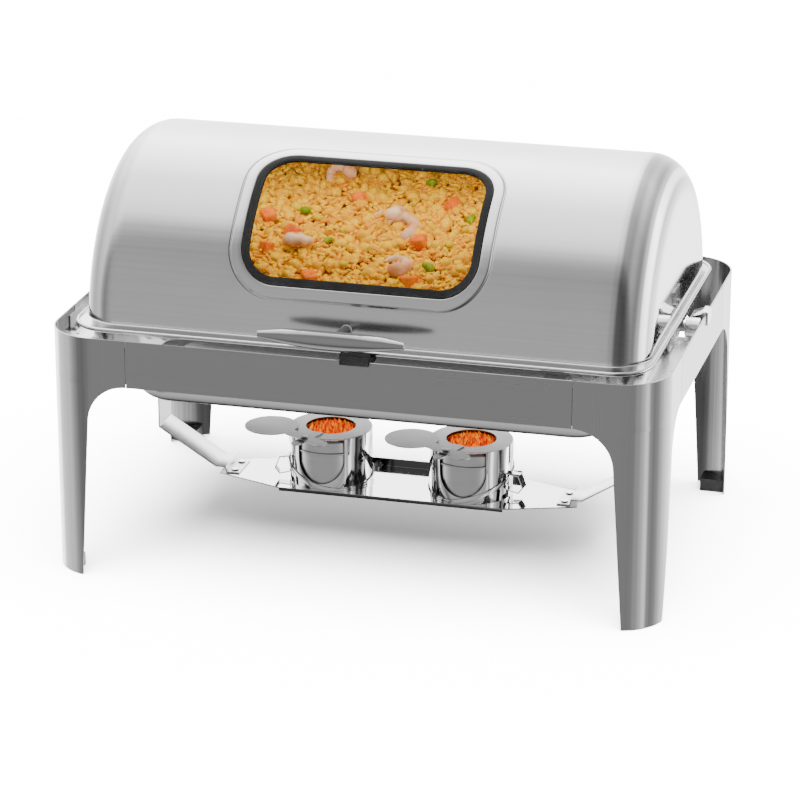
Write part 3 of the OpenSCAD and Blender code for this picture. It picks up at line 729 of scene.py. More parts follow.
class Bench:
    """Where meshes become finished pieces, and where CAD parts get their finish."""

    def __init__(self) -> None:
        """Starts with no materials made."""
        self.made: dict[str, bpy.types.Material] = {}

    def material(self, finish: Finish) -> bpy.types.Material:
        """Gives a finish's material, made once.

        Args:
            finish: The finish.

        Returns:
            Its material.
        """
        if finish.name not in self.made:
            self.made[finish.name] = finish.make()
        return self.made[finish.name]

    def hand_over(
        self,
        bm: bmesh.types.BMesh,
        name: str,
        body: str,
        slot: str,
        finish: Finish,
        replaces: Sequence[str] = (),
        crease: float = 35.0,
        thickness: float = 0.0,
        rounding: float = 0.0,
        inner_finish: Finish | None = None,
    ) -> bpy.types.Object:
        """Makes a piece of a mesh and lets it ride on a body.

        Args:
            bm: The mesh, which is used up.
            name: Name of the piece.
            body: Body that it moves with.
            slot: The record's material slot, not used.
            finish: Finish of its surface.
            replaces: CAD parts that it stands for.
            crease: Angle in degrees above which an edge stays hard, or 0 for faces that are shaded already.
            thickness: Thickness that a sheet gets on its inner side.
            rounding: Width of the rounding of the sheet's edges.
            inner_finish: Finish of the sheet's inner side, if it has one of its own.

        Returns:
            The piece.
        """
        if crease:
            soften(bm, crease)
        mesh = bpy.data.meshes.new(name)
        bm.to_mesh(mesh)
        bm.free()
        mesh.materials.append(self.material(finish))
        piece = bpy.data.objects.new(name, mesh)
        bpy.context.scene.collection.objects.link(piece)
        if thickness:
            wall = piece.modifiers.new("Wall", "SOLIDIFY")
            wall.thickness, wall.offset, wall.use_even_offset = thickness, -1.0, True
            if inner_finish:
                mesh.materials.append(self.material(inner_finish))
                wall.material_offset = 1
        if rounding:
            edge = piece.modifiers.new("Edge", "BEVEL")
            edge.width, edge.segments, edge.limit_method = rounding, 2, "ANGLE"
            edge.angle_limit = math.radians(45)
            edge.harden_normals = False
        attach(piece, body)
        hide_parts(*replaces)
        log.info("%s: %d faces, rides on %s", name, len(mesh.polygons), body)
        return piece

    def round_off(self, node: str, body: str, slot: str, finish: Finish, rounding: float = 0.3 * MM) -> None:
        """Stands a rounded copy in for a CAD part."""
        bm = cad_copy(node, rounding)
        self.hand_over(bm, node + "_sheet", body, slot, finish, (node,), crease=0.0)

    def dress(self, node: str, finish: Finish) -> None:
        """Gives a CAD part that stays as it is its material.

        Args:
            node: Name of the CAD part.
            finish: Finish of its surface.
        """
        part = frame["nodes"][node]
        part.data.materials.clear()
        part.data.materials.append(self.material(finish))
        log.info("%s: CAD part, finish %s", node, finish.name)


# ---------------------------------------------------------------- stand


def joint_place(name: str) -> Vector:
    """Gives the place of a joint's axis."""
    return Vector(next(j for j in frame["joints"] if j["name"] == name)["pos_m"])


@dataclass
class Stand:
    """The four legs, the four bands between them and their hardware."""

    bench: Bench
    centre: Vector
    half_x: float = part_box("leg_front_right")[1].x
    half_y: float = (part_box("leg_rear_right")[1].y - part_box("leg_front_right")[0].y) / 2
    top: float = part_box("leg_front_right")[1].z
    foot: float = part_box("leg_front_right")[0].z
    band_low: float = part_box("front_band")[0].z
    seam_x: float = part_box("leg_front_right")[0].x
    seam_y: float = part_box("leg_rear_right")[0].y
    corner: float = 50 * MM
    sheet: float = 1.5 * MM
    wing_foot: float = 37 * MM
    wing_top_front: float = 50.5 * MM
    wing_top_side: float = 62 * MM
    arch: float = 41.5 * MM
    rounding: float = 0.45 * MM

    def edge(self, half: float, seam: float, wing_top: float) -> list[tuple[float, float]]:
        """Gives the free edge of a leg's wing, from the foot up to the seam and on to the top.

        Args:
            half: Half of the stand's size along the wing.
            seam: Distance of the seam from the middle.
            wing_top: Width that the wing would have at the band, without its arch.

        Returns:
            Points as (distance from the middle, height).
        """
        lean = math.atan((wing_top - self.wing_foot) / self.band_low)
        reach = self.arch / math.tan(math.pi / 4 + lean / 2)
        start = self.band_low - reach * math.cos(lean)
        points = [
            (half - self.wing_foot - z * math.tan(lean), z) for z in spread(self.foot, start, 8)
        ]
        points += [
            (seam + self.arch * math.sin(a), self.band_low - self.arch + self.arch * math.cos(a))
            for a in spread(math.pi / 2 - lean, 0, 14)
        ][1:]
        return points + [(seam, z) for z in spread(self.band_low, self.top, 4)][1:]

    def leg(self, side: int, end: int) -> bmesh.types.BMesh:
        """Builds one leg: two wings of sheet round a corner.

        Args:
            side: -1 for the left and 1 for the right.
            end: -1 for the front and 1 for the rear.

        Returns:
            The sheet, without its thickness.
        """
        front = self.edge(self.half_x, self.seam_x, self.wing_top_front)
        flank = self.edge(self.half_y, self.seam_y - self.centre.y, self.wing_top_side)
        round_x, round_y = self.half_x - self.corner, self.half_y - self.corner
        quarter = self.corner * math.pi / 2
        columns = 34

        def place(i: int, j: int) -> Vector:
            """Gives a point of the sheet: column i from the front edge round to the side edge.

            Args:
                i: Number of the column.
                j: Number of the row, up from the foot.

            Returns:
                The point.
            """
            x_edge, z_front = front[j]
            y_edge, z_flank = flank[j]
            start, stop = x_edge - round_x, quarter + round_y - y_edge
            if start > 0:
                start = self.corner * math.asin(start / self.corner)
            if stop < quarter:
                stop = self.corner * math.acos((y_edge - round_y) / self.corner)
            share = i / columns
            walk = mix(start, stop, share)
            turn = max(0.0, min(walk / self.corner, math.pi / 2))
            x = round_x + self.corner * math.sin(turn) + min(walk, 0.0)
            y = round_y + self.corner * math.cos(turn) - max(walk - quarter, 0.0)
            return Vector((side * x, self.centre.y + end * y, mix(z_front, z_flank, share)))

        bm = bmesh.new()
        patch(bm, columns, len(front) - 1, place)
        weld(bm, Vector((0, self.centre.y, self.top / 2)))
        return bm

    def build(self) -> None:
        """Makes the legs and bands, and dresses the hardware."""
        for end, across in ((-1, "front"), (1, "rear")):
            for side, hand in ((-1, "left"), (1, "right")):
                corner = f"{across}_{hand}"
                self.bench.hand_over(
                    self.leg(side, end), f"leg_{corner}_sheet", "stand", "leg_steel", STAND_STEEL,
                    (f"leg_{corner}",), thickness=self.sheet, rounding=self.rounding, inner_finish=LEG_INNER_SHADE,
                )
                self.bench.dress(f"glide_{corner}", GLIDE_PLASTIC)
        for name in ("front", "rear", "left", "right"):
            self.bench.round_off(f"{name}_band", "stand", "band_steel", BAND_STEEL, self.rounding)
        self.bench.round_off("seam_plates", "stand", "inner_steel", INNER_STEEL, 0.2 * MM)
        self.bench.dress("seam_nuts", FASTENER_STEEL)


@dataclass
class Carrier:
    """What holds the water pan inside the stand, with the bumper that the lid's rim comes down on."""

    bench: Bench
    bumper_low: float = 256.5 * MM
    bumper_lip: float = 3.2 * MM

    def bumper(self) -> bmesh.types.BMesh:
        """Builds the rubber bumper: a lip over the band's edge, and a pad under the lid's rim.

        Returns:
            The mesh.
        """
        low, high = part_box("front_bumper")
        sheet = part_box("front_band")[0].y + self.bumper_lip
        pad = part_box("lid_shell")[0].z - 0.3 * MM
        front = low.y
        section = [
            (front, self.bumper_low), (front, high.z - 2 * MM), (front + 0.6 * MM, high.z - 0.6 * MM),
            (front + 2 * MM, high.z), (sheet, high.z), (sheet + 0.6 * MM, high.z - 0.6 * MM),
            (sheet + 0.8 * MM, pad), (high.y, pad), (high.y, pad - 5 * MM), (sheet, pad - 6 * MM),
            (sheet, self.bumper_low),
        ]
        width = high.x - low.x

        def place(i: int, j: int) -> Vector:
            """Gives a point of the section, repeated across the bumper."""
            y, z = section[j % len(section)]
            return Vector((low.x + width * i / 6, y, z))

        bm = bmesh.new()
        patch(bm, 6, len(section), place)
        bmesh.ops.remove_doubles(bm, verts=bm.verts, dist=WELD)
        bmesh.ops.holes_fill(bm, edges=[e for e in bm.edges if e.is_boundary])
        weld(bm)
        return bm

    def build(self) -> None:
        """Makes the carrier's pieces."""
        self.bench.round_off("pan_cradle", "stand", "carrier_steel", CARRIER_STEEL, 0.3 * MM)
        for side in ("left", "right"):
            self.bench.round_off(f"{side}_side_ledge", "stand", "carrier_steel", LEDGE_STEEL, 0.3 * MM)
        self.bench.round_off("front_brackets", "stand", "inner_steel", INNER_STEEL, 0.3 * MM)
        self.bench.hand_over(
            self.bumper(), "front_bumper_moulded", "stand", "black_rubber", BUMPER_RUBBER, ("front_bumper",),
            rounding=0.5 * MM,
        )


# ---------------------------------------------------------------- pans and food


@dataclass
class Pan:
    """A deep drawn pan: a flat rim, steep walls and a rounded lower edge."""

    bench: Bench
    centre: Vector
    node: str
    well_x: float
    well_y: float
    corner: float
    bottom: float
    rim_corner: float
    sheet: float = 1.0 * MM
    rim_fold: float = 2.0 * MM

    def build(self) -> None:
        """Makes the pan as one drawn sheet with a thickness."""
        low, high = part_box(self.node)
        rim = RoundedBox((high.x - low.x) / 2, (high.y - low.y) / 2, self.rim_corner)
        well = RoundedBox(self.well_x, self.well_y, self.corner)
        lip = high.z
        shoulder = [
            (well.grown(self.rim_fold * (1 - math.sin(a))), lip - self.rim_fold * (1 - math.cos(a)))
            for a in spread(0, math.pi / 2, 4)
        ]
        foot = [
            (well.grown(-self.bottom * (1 - math.cos(a))), low.z + self.bottom * (1 - math.sin(a)))
            for a in spread(0, math.pi / 2, 10)
        ]
        floor = [
            (RoundedBox(foot[-1][0].half_x * s, foot[-1][0].half_y * s, foot[-1][0].radius * s), low.z)
            for s in (0.7, 0.35, 0.05)
        ]
        bm = bmesh.new()
        loft(bm, [(rim, lip - self.sheet), (rim, lip), *shoulder, *foot, *floor], self.centre)
        middle = [e for e in bm.edges if e.is_boundary and e.verts[0].co.z < lip - 10 * MM]
        bmesh.ops.holes_fill(bm, edges=middle)
        weld(bm, Vector((self.centre.x, self.centre.y, lip)))
        self.bench.hand_over(
            bm, f"{self.node}_drawn", "stand", "pan_steel", PAN_STEEL, (self.node,),
            thickness=self.sheet, crease=50.0,
        )


@dataclass
class Food:
    """Fried rice heaped in the food pan, with egg, shrimp, carrot, peas and corn."""

    bench: Bench
    centre: Vector
    seed: int = 7
    grains: int = 2400
    curds: int = 700
    rocking: float = 0.7
    garnish: dict[str, tuple[tuple[float, float], ...]] = field(default_factory=lambda: {
        "shrimp": ((-102, -12), (-24, 36), (4, -36), (-4, 20), (60, -98), (-176, -80), (150, 60), (190, -60),
                   (-90, 90)),
        "pea": ((-76, -8), (39, -36), (66, 40), (-112, 34), (-150, -80), (130, -30), (10, 90), (170, 90),
                (84, -80)),
        "carrot": ((41, 60), (-150, 22), (-138, -24), (24, -60), (62, 112), (-118, 2), (86, 14), (-60, 60),
                   (-40, -98), (104, -40), (150, -90), (-190, -30), (200, 20), (-80, -66), (20, 0)),
        "corn": ((-5, -6), (52, 2), (-124, 40), (-52, -40), (28, 24), (96, -10), (-96, 26), (-40, 70),
                 (130, 40), (-170, -100), (64, 26), (-34, -74), (0, 60), (-64, 10)),
    })

    def __post_init__(self) -> None:
        """Readies the heap's surface and the seeded random draws."""
        node = frame["nodes"]["food_fill"]
        bm = bmesh.new()
        bm.from_mesh(node.data)
        self.heap = BVHTree.FromBMesh(bm)
        bm.free()
        self.low, self.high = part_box("food_fill")
        self.draw = random.Random(self.seed)

    def surface(self, x: float, y: float) -> tuple[Vector, Vector]:
        """Gives the heap's point over (x, y) and its normal.

        Args:
            x: Place along the pan.
            y: Place across the pan.

        Returns:
            The point and the normal, which point straight up where the heap has ended.
        """
        point, normal, _, _ = self.heap.ray_cast(Vector((x, y, self.high.z + 0.1)), Vector((0, 0, -1)))
        if point is None:
            return Vector((x, y, self.low.z)), Vector((0, 0, 1))
        return point, normal

    def bed(self) -> bmesh.types.BMesh:
        """Builds the lumpy surface under the loose grains, closed below by the pan's shape.

        Returns:
            The mesh.
        """
        outline = RoundedBox(self.high.x - 4 * MM, (self.high.y - self.low.y) / 2 - 4 * MM, 40 * MM)
        ring = outline.ring(6, 12)
        rows = 26

        def place(i: int, j: int) -> Vector:
            """Gives a point of the heap: row 0 at the pan's wall and the last row in the middle.

            Args:
                i: Number of the point round the pan.
                j: Number of the row.

            Returns:
                The point.
            """
            x, y = ring[i % len(ring)]
            share = 1 - (j - 1) / (rows - 1) if j else 1.0
            x, y = x * share, self.centre.y + y * share
            if j == 0:
                return Vector((x, y, self.low.z + 20 * MM))
            point, _ = self.surface(x, y)
            lump = noise.noise(point * 70) * 2.2 * MM + noise.noise(point * 210) * 1.2 * MM
            return Vector((x, y, max(point.z, self.low.z + 40 * MM) - 2.5 * MM + lump))

        bm = bmesh.new()
        patch(bm, len(ring), rows, place)
        bmesh.ops.remove_doubles(bm, verts=bm.verts, dist=WELD)
        base = [e for e in bm.edges if e.is_boundary]
        bmesh.ops.edgeloop_fill(bm, edges=base)
        weld(bm)
        return bm

    def lie(self, x: float, y: float, sink: float, size: Vector) -> Matrix:
        """Lays a morsel on the heap, turned at random.

        Args:
            x: Place along the pan.
            y: Place across the pan.
            sink: How far its middle lies above the heap.
            size: Its scale along its own axes.

        Returns:
            The matrix that places it.
        """
        point, normal = self.surface(x, y)
        tilt = normal.to_track_quat("Z", "Y").to_matrix().to_4x4()
        rock = [self.draw.uniform(-self.rocking, self.rocking) for _ in range(2)]
        turn = Euler((*rock, self.draw.uniform(0, math.tau))).to_matrix().to_4x4()
        shape = Matrix.Diagonal((*size, 1.0))
        return Matrix.Translation(point + normal * sink) @ tilt @ turn @ shape

    def anywhere(self) -> tuple[float, float]:
        """Draws a place in the pan."""
        reach_x, reach_y = self.high.x - 12 * MM, (self.high.y - self.low.y) / 2 - 12 * MM
        return self.draw.uniform(-reach_x, reach_x), self.centre.y + self.draw.uniform(-reach_y, reach_y)

    def grain(self) -> bmesh.types.BMesh:
        """Builds one grain of rice, 1 unit long along X.

        Returns:
            The mesh.
        """
        bm = bmesh.new()
        bmesh.ops.create_uvsphere(bm, u_segments=6, v_segments=5, radius=0.5)
        bmesh.ops.rotate(bm, verts=bm.verts, matrix=Matrix.Rotation(math.pi / 2, 3, "Y"))
        for vert in bm.verts:
            vert.co.z += 0.35 * vert.co.x * vert.co.x
        soften(bm, 180.0)
        return bm

    def curd(self) -> bmesh.types.BMesh:
        """Builds one curd of egg, a lumpy ball of 1 unit.

        Returns:
            The mesh.
        """
        bm = bmesh.new()
        bmesh.ops.create_icosphere(bm, subdivisions=2, radius=0.5)
        for vert in bm.verts:
            vert.co *= 1 + 0.55 * noise.noise(vert.co * 3.1 + Vector((4.0, 1.0, 7.0)))
        soften(bm, 180.0)
        return bm

    def shrimp(self) -> bmesh.types.BMesh:
        """Builds one peeled shrimp, curled nearly shut and about 1 unit across.

        Returns:
            The mesh.
        """
        around, along = 12, 30

        def place(i: int, j: int) -> Vector:
            """Gives a point of the curled body, thick at the head and thin at the tail.

            Args:
                i: Number of the point round the body.
                j: Number of the ring along it.

            Returns:
                The point.
            """
            share = j / along
            turn = math.radians(mix(20, 300, share))
            thick = 0.21 * (1 - 0.62 * share) * min(1.0, 6 * share + 0.35, 5 * (1 - share) + 0.12)
            ridge = 1 + 0.10 * math.sin(share * 7 * math.tau)
            a = math.tau * i / around
            out = 0.3 + thick * ridge * math.cos(a)
            return Vector((out * math.cos(turn), out * math.sin(turn), 1.15 * thick * ridge * math.sin(a)))

        bm = bmesh.new()
        patch(bm, around, along, place)
        bmesh.ops.remove_doubles(bm, verts=bm.verts, dist=1e-4)
        bmesh.ops.holes_fill(bm, edges=[e for e in bm.edges if e.is_boundary])
        bmesh.ops.recalc_face_normals(bm, faces=bm.faces)
        soften(bm, 80.0)
        return bm

    def die(self) -> bmesh.types.BMesh:
        """Builds one die of carrot, 1 unit across.

        Returns:
            The mesh.
        """
        bm = bmesh.new()
        bmesh.ops.create_cube(bm, size=1.0)
        bmesh.ops.bevel(
            bm, geom=list(bm.edges), offset=0.16, offset_type="OFFSET", segments=3, profile=0.5,
            affect="EDGES", material=-1, clamp_overlap=True,
        )
        soften(bm, 50.0)
        return bm

    def kernel(self) -> bmesh.types.BMesh:
        """Builds one kernel of corn, a wedge with a round crown.

        Returns:
            The mesh.
        """
        bm = bmesh.new()
        bmesh.ops.create_icosphere(bm, subdivisions=2, radius=0.5)
        for vert in bm.verts:
            vert.co.y *= 0.72 + 0.5 * vert.co.x
            vert.co.z *= 0.62
        soften(bm, 180.0)
        return bm

    def scatter(
        self, name: str, template: bmesh.types.BMesh, finish: Finish, places: Iterable[Matrix]
    ) -> None:
        """Lays copies of a morsel on the heap as one piece."""
        self.bench.hand_over(copies(template, places), name, "stand", "food", finish, crease=80.0)

    def build(self) -> None:
        """Makes the heap, the grains and everything mixed in."""
        self.bench.hand_over(self.bed(), "rice_heap", "stand", "food", RICE_BED, ("food_fill",), crease=180.0)
        for name, finish in (("rice_gold_a", RICE_GOLD), ("rice_gold_b", RICE_GOLD),
                             ("rice_pale_a", RICE_PALE), ("rice_pale_b", RICE_PALE)):
            places = [
                self.lie(*self.anywhere(), self.draw.uniform(-1.0, 3.2) * MM,
                         Vector((self.draw.uniform(9, 12), self.draw.uniform(4.6, 6.0), 4.8)) * MM)
                for _ in range(self.grains)
            ]
            self.scatter(name, self.grain(), finish, places)
        curds = [
            self.lie(*self.anywhere(), self.draw.uniform(0, 2.5) * MM,
                     Vector([self.draw.uniform(9, 16) for _ in range(3)]) * MM)
            for _ in range(self.curds)
        ]
        self.scatter("egg_curds", self.curd(), EGG, curds)
        shapes = {
            "shrimp": (self.shrimp, SHRIMP, 42 * MM, 5.5 * MM),
            "pea": (self.kernel, PEA, 14 * MM, 5.5 * MM),
            "carrot": (self.die, CARROT, 14 * MM, 4.0 * MM),
            "corn": (self.kernel, CORN, 13 * MM, 3.5 * MM),
        }
        for name, (shape, finish, size, lift) in shapes.items():
            places = []
            for x, y in self.garnish[name]:
                scale = Vector((1, 1, 1)) * size * self.draw.uniform(0.85, 1.15)
                places.append(self.lie(x * MM, self.centre.y + y * MM, lift, scale))
            self.scatter(f"{name}_pieces", shape(), finish, places)


# ---------------------------------------------------------------- lid


@dataclass(frozen=True)
class Column:
    """One column of the lid's sheet, from its left end wall over the barrel to its right one."""

    x: float
    radius: float
    wall: float
    bead_x: float
    bead_y: float


@dataclass
class Lid:
    """The roll top: shell with rolled rim, and window with seal and glass."""

    bench: Bench
    axis: Vector
    radius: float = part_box("lid_shell")[1].z - joint_place("lid_roll").z
    rim_x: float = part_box("lid_shell")[1].x
    rim_y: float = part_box("lid_shell")[1].y - joint_place("lid_roll").y
    half: float = 294 * MM
    end: float = 40 * MM
    sheet: float = 0.9 * MM
    bead: float = 2.2 * MM
    bead_z: float = 262.5 * MM
    flange_z: float = 263 * MM
    fillet: float = 1.4 * MM
    window: RoundedBox = RoundedBox(123 * MM, 76 * MM, 38 * MM)
    window_x: float = -4 * MM
    window_angle: float = math.radians(46.7)
    seal: float = 8 * MM
    frame_x: float = 146 * MM
    frame_low: float = math.radians(13)
    frame_high: float = math.radians(80)
    bezel: tuple[tuple[float, float], ...] = (
        (14.2, 0.0), (13.4, -0.05), (12.7, -0.45), (12.1, -0.4), (11.5, 0.25), (11.0, 0.95), (10.3, 1.25),
        (9.2, 1.35), (5.0, 1.3), (1.4, 1.2), (0.5, 1.0), (0.0, 0.4), (0.0, -0.6),
    )

    def columns(self) -> list[Column]:
        """Gives the columns of the sheet, with a point of the rim's bead for each.

        Returns:
            The columns, from left to right.
        """
        flat = self.half - self.end
        inner = self.radius - self.end
        bead_x, bead_y = self.rim_x - self.bead, self.rim_y - self.bead
        turn = self.end - self.bead
        core_x, core_y = bead_x - turn, bead_y - turn
        right = [
            Column(flat + self.end * math.sin(a), inner + self.end * math.cos(a), 0.0,
                   core_x + turn * math.sin(a), core_y + turn * math.cos(a))
            for a in spread(0, math.pi / 2, 16)
        ]
        right += [Column(self.half, inner, s, bead_x, core_y * (1 - s)) for s in spread(0, 1, 6)[1:]]
        left = [Column(-c.x, c.radius, c.wall, -c.bead_x, c.bead_y) for c in reversed(right)]
        low, high = self.window_x - self.frame_x, self.window_x + self.frame_x
        places = spread(-flat, low, 5)[1:] + spread(low, high, 40)[1:] + spread(high, flat, 5)[1:-1]
        barrel = [Column(x, self.radius, 0.0, x * core_x / flat, bead_y) for x in places]
        return left + barrel + right

    def rows(self) -> list[float]:
        """Gives the angles of the rows of the sheet on the barrel, from the rim to the top.

        Returns:
            The angles in radians.
        """
        rim = math.asin((self.flange_z + self.fillet - self.axis.z) / self.radius)
        return (
            spread(rim, self.frame_low, 4)
            + spread(self.frame_low, self.frame_high, 28)[1:]
            + spread(self.frame_high, math.pi / 2, 5)[1:]
        )

    def on_shell(self, column: Column, angle: float, end: int) -> Vector:
        """Gives a point of the shell.

        Args:
            column: Column of the sheet.
            angle: Angle that the row has on the barrel.
            end: -1 for the front half and 1 for the rear half.

        Returns:
            The point.
        """
        rim_height = self.flange_z + self.fillet - self.axis.z
        rim = math.asin(rim_height / self.radius)
        share = (angle - rim) / (math.pi / 2 - rim)
        start = math.asin(rim_height / column.radius)
        turn = mix(start, math.pi / 2, share)
        y = column.radius * math.cos(turn) * (1 - column.wall)
        middle = mix(rim_height, self.radius - self.end, share)
        z = mix(column.radius * math.sin(turn), middle, column.wall)
        return Vector((column.x, self.axis.y + end * y, self.axis.z + z))

    def on_barrel(self, u: float, v: float, out: float) -> Vector:
        """Gives a point round the window.

        Args:
            u: Distance from the window's middle along the lid.
            v: Distance from the window's middle, measured straight across.
            out: Distance outside the barrel.

        Returns:
            The point.
        """
        radius = self.radius + out
        angle = self.window_angle + math.asin(v / radius)
        return Vector((
            self.window_x + u, self.axis.y - radius * math.cos(angle), self.axis.z + radius * math.sin(angle)
        ))

    def shell(self) -> bmesh.types.BMesh:
        """Builds the shell with its window's pressed frame and its rolled rim, as one sheet.

        Returns:
            The mesh.
        """
        columns, rows = self.columns(), self.rows()
        bm = bmesh.new()
        for end in (-1, 1):
            patch(bm, len(columns) - 1, len(rows) - 1, lambda i, j: self.on_shell(columns[i], rows[j], end))
        self.cut_window(bm, columns, rows)
        self.roll_rim(bm, columns, rows[0])
        weld(bm, self.axis)
        return bm

    def cut_window(self, bm: bmesh.types.BMesh, columns: Sequence[Column], rows: Sequence[float]) -> None:
        """Opens the front of the shell and fits the window's frame in.

        Args:
            bm: Mesh of the shell.
            columns: Columns of its sheet.
            rows: Rows of its sheet.
        """
        gone = []
        for face in bm.faces:
            middle = face.calc_center_median() - self.axis
            angle = math.atan2(middle.z, -middle.y)
            if abs(middle.x - self.window_x) < self.frame_x and self.frame_low < angle < self.frame_high:
                gone.append(face)
        bmesh.ops.delete(bm, geom=gone, context="FACES")
        slack = 0.01 * MM
        across = [c.x for c in columns if abs(c.x - self.window_x) <= self.frame_x + slack]
        up = [a for a in rows if self.frame_low - 1e-6 <= a <= self.frame_high + 1e-6]
        loop = [(x, up[0]) for x in across[:-1]] + [(across[-1], a) for a in up[:-1]]
        loop += [(x, up[-1]) for x in across[:0:-1]] + [(across[0], a) for a in up[:0:-1]]

        def place(i: int, j: int) -> Vector:
            """Gives a point of the frame: row 0 on the shell and the last row at the opening.

            Args:
                i: Number of the point round the frame.
                j: Number of the row.

            Returns:
                The point.
            """
            x, angle = loop[i % len(loop)]
            u, v = x - self.window_x, self.radius * math.sin(angle - self.window_angle)
            if j == 0:
                return self.on_barrel(u, v, 0.0)
            grow, out = self.bezel[j - 1]
            return self.on_barrel(*self.window.grown(grow * MM).nearest(u, v), out * MM)

        patch(bm, len(loop), len(self.bezel), place)

    def roll_rim(self, bm: bmesh.types.BMesh, columns: Sequence[Column], angle: float) -> None:
        """Adds the flange and its rolled bead round the shell's lower edge.

        Args:
            bm: Mesh of the shell.
            columns: Columns of its sheet.
            angle: Angle of the shell's lowest row.
        """
        loop = [(c, -1) for c in columns[:-1]] + [(c, 1) for c in columns[:0:-1]]
        fillet = spread(0, math.pi / 2, 3)
        roll = spread(math.radians(167), math.radians(-160), 14)

        def place(i: int, j: int) -> Vector:
            """Gives a point of the rim: first down the fillet, then over the bead and under it.

            Args:
                i: Number of the point round the rim.
                j: Number of the row.

            Returns:
                The point.
            """
            column, end = loop[i % len(loop)]
            wall = self.on_shell(column, angle, end)
            bead = Vector((column.bead_x, self.axis.y + end * column.bead_y, wall.z))
            out = (bead - wall).normalized()
            if j < len(fillet):
                point = wall + out * self.fillet * (1 - math.cos(fillet[j]))
                point.z = self.flange_z + self.fillet * (1 - math.sin(fillet[j]))
                return point
            turn = roll[j - len(fillet)]
            point = bead + self.bead_normal(column, end) * self.bead * math.cos(turn)
            point.z = self.bead_z + self.bead * math.sin(turn)
            return point

        patch(bm, len(loop), len(fillet) + len(roll) - 1, place)

    def bead_normal(self, column: Column, end: int) -> Vector:
        """Gives the level direction that the rim's bead faces at a column.

        Args:
            column: Column of the sheet.
            end: -1 for the front half and 1 for the rear half.

        Returns:
            The direction, 1 long.
        """
        turn = self.end - self.bead
        core_x, core_y = self.rim_x - self.bead - turn, self.rim_y - self.bead - turn
        away_x = max(abs(column.bead_x) - core_x, 0.0) * (1 if column.bead_x > 0 else -1)
        away_y = max(column.bead_y - core_y, 0.0)
        return Vector((away_x, end * away_y, 0.0)).normalized()

    def gasket(self) -> bmesh.types.BMesh:
        """Builds the rubber seal between the window's frame and its glass.

        Returns:
            The mesh.
        """
        inner = self.seal / MM
        section = (
            (-0.1, -2.4), (-0.1, 0.9), (-0.5, 1.7), (-1.3, 2.0), (-inner + 1.6, 1.7), (-inner + 0.5, 1.3),
            (-inner, 0.6), (-inner, -2.4),
        )
        outlines = [self.window.grown(g * MM).ring(14, 10) for g, _ in section]
        count = len(outlines[0])

        def place(i: int, j: int) -> Vector:
            """Gives a point of the seal, round its section and round the window."""
            u, v = outlines[j % len(section)][i % count]
            return self.on_barrel(u, v, section[j % len(section)][1] * MM)

        bm = bmesh.new()
        patch(bm, count, len(section), place)
        weld(bm)
        return bm

    def glass(self) -> bmesh.types.BMesh:
        """Builds the curved pane.

        Returns:
            The mesh.
        """
        ring = self.window.grown(-self.seal + 0.4 * MM).ring(14, 10)
        rows = 10

        def place(i: int, j: int) -> Vector:
            """Gives a point of the pane, from its edge to its middle.

            Args:
                i: Number of the point round the pane.
                j: Number of the row, in from the edge.

            Returns:
                The point.
            """
            u, v = ring[i % len(ring)]
            share = 1 - j / rows
            return self.on_barrel(u * share, v * share, -0.4 * MM)

        bm = bmesh.new()
        patch(bm, len(ring), rows, place)
        weld(bm, self.axis)
        return bm

    def build(self) -> None:
        """Makes the lid's pieces."""
        hand_over = self.bench.hand_over
        hand_over(self.shell(), "lid_pressed_shell", "lid", "lid_steel", LID_STEEL,
                  ("lid_shell", "window_bezel"), thickness=self.sheet, crease=60.0)
        hand_over(self.gasket(), "window_seal", "lid", "seal_rubber", SEAL_RUBBER,
                  ("window_gasket",), crease=50.0)
        hand_over(self.glass(), "window_pane", "lid", "window_glass", WINDOW_GLASS,
                  ("window_glass",), thickness=2.0 * MM)


